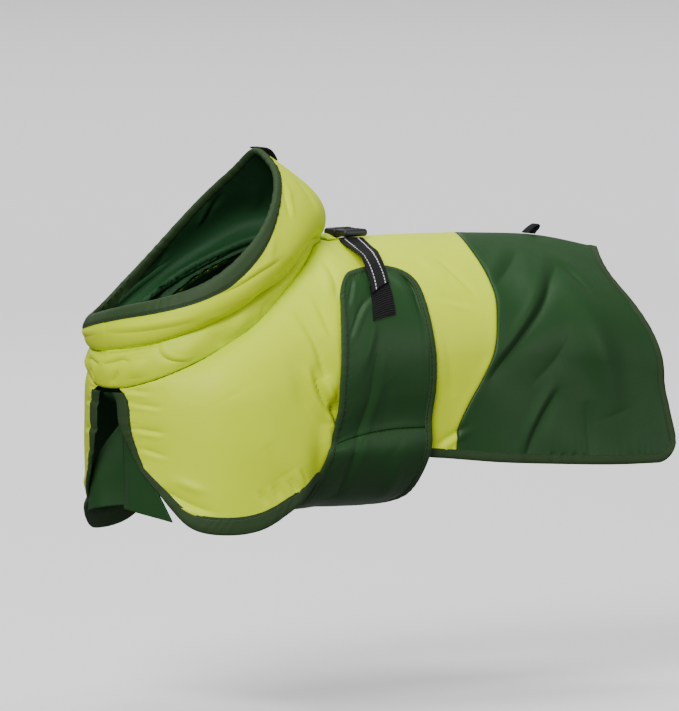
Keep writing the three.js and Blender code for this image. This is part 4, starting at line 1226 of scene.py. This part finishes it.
def leadWelt():
    t = np.linspace(0, 1, 25)[:, None]
    across = np.linspace(-1, 1, 31)[None, :]
    y = welt["halfWidth"] * across + 0 * t
    dome = welt["rise"] * np.sin(np.pi * t) * np.cos(np.pi / 2 * across)
    grid = points(lerp(welt["fromX"], welt["toX"], t), y, welt["lift"] + dome - y * y / welt["fall"])
    outer = grid + [0, 0, welt["wall"]]
    return Sheet().add(outer, grid, grid[..., :2]).piece("leadWelt", (shellCloth,), ["lead_welt"], "shell")


def tapeStrip(name, path, width, wall, nodes):
    # a folded tape along a path in the plane of the spine, with its path given as x and z
    at = np.linspace(0, len(path) - 1, 8 * len(path))
    x, z = smoothAt(path[:, 0], at), smoothAt(path[:, 1], at)
    half = width / 2
    section = [(w * half, wall) for w in (-0.8, 0.0, 0.8)] + [(half, wall * 0.7), (half, wall * 0.3)]
    section += [(w * half, 0) for w in (0.8, 0.0, -0.8)] + [(-half, wall * 0.3), (-half, wall * 0.7)]
    tangent = np.stack([np.gradient(x), np.gradient(z)], -1)
    tangent /= np.linalg.norm(tangent, axis=-1, keepdims=True)
    out = points(tangent[:, 1], 0, -tangent[:, 0])
    rings = np.stack([points(x, w, z) + out * lift for w, lift in section], 1)
    return tubePiece(name, rings, [5 + w for w, _ in section], [blackTape], nodes, smoothAngle=40)


def neckLoop():
    heights = np.array([1, 0.88, 0.7, 0.45, 0.2, 0.0])
    chord = apart(mouthPoint(np.array(0.0)), neckPoint(np.array(0.0)))
    up = 1 - loop["drop"] / chord * (1 - heights)
    grid = collarSurface(np.array([-0.012, 0, 0.012])[:, None], up[None, :])
    normal = gridNormals(grid)[1]
    lift = coat["wall"] + loop["lift"] + loop["bulge"] * np.sin(np.pi * heights)
    path = grid[1] - normal * lift[:, None]
    return tapeStrip("neckLoop", path[:, [0, 2]], loop["width"], loop["wall"], ["neck_loop"])


def rearTab():
    foot = coatHalf(alongAtX(np.array(float(tab["x"])), np.array(0.0)), np.array(0.0))[2] + tab["lift"]
    profile = np.array([(0.55, 0), (0.7, 0.3), (0.92, 0.62), (1.0, 0.92), (0.84, 0.9), (0.4, 0.5), (0, 0)])
    path = profile * [tab["length"], tab["height"]] + [tab["x"], foot]
    return tapeStrip("rearTab", path, tab["width"], tab["wall"], ["rear_tab"])


trims = [leadWelt(), neckLoop(), rearTab()]
print("trims made")


# ---- studio ----
def paleFloor():
    bpy.ops.object.select_all(action="DESELECT")
    bpy.ops.mesh.primitive_plane_add(size=studio["floorSize"], location=(0, 0, studio["floor"]))
    floor = bpy.context.object
    floor.name = "floor"
    board = Board("pale floor", 0.9)
    board.shader.inputs["Base Color"].default_value = (0.86, 0.86, 0.86, 1)
    floor.data.materials.append(board.finish)
    floor.visible_diffuse = floor.visible_glossy = False
    world = bpy.data.worlds.new("studio")
    world.use_nodes = True
    world.node_tree.nodes["Background"].inputs["Color"].default_value = (1, 1, 1, 1)
    world.node_tree.nodes["Background"].inputs["Strength"].default_value = studio["world"]
    bpy.context.scene.world = world
    for name, at, aim, size, power in studioLights:
        data = bpy.data.lights.new(name, "AREA")
        data.size, data.energy = size, power
        lamp = bpy.data.objects.new(name, data)
        lamp.location = at
        lamp.visible_glossy = name != "backdrop"
        lamp.rotation_euler = (Vector(aim) - Vector(at)).to_track_quat("-Z", "Y").to_euler()
        bpy.context.scene.collection.objects.link(lamp)


paleFloor()
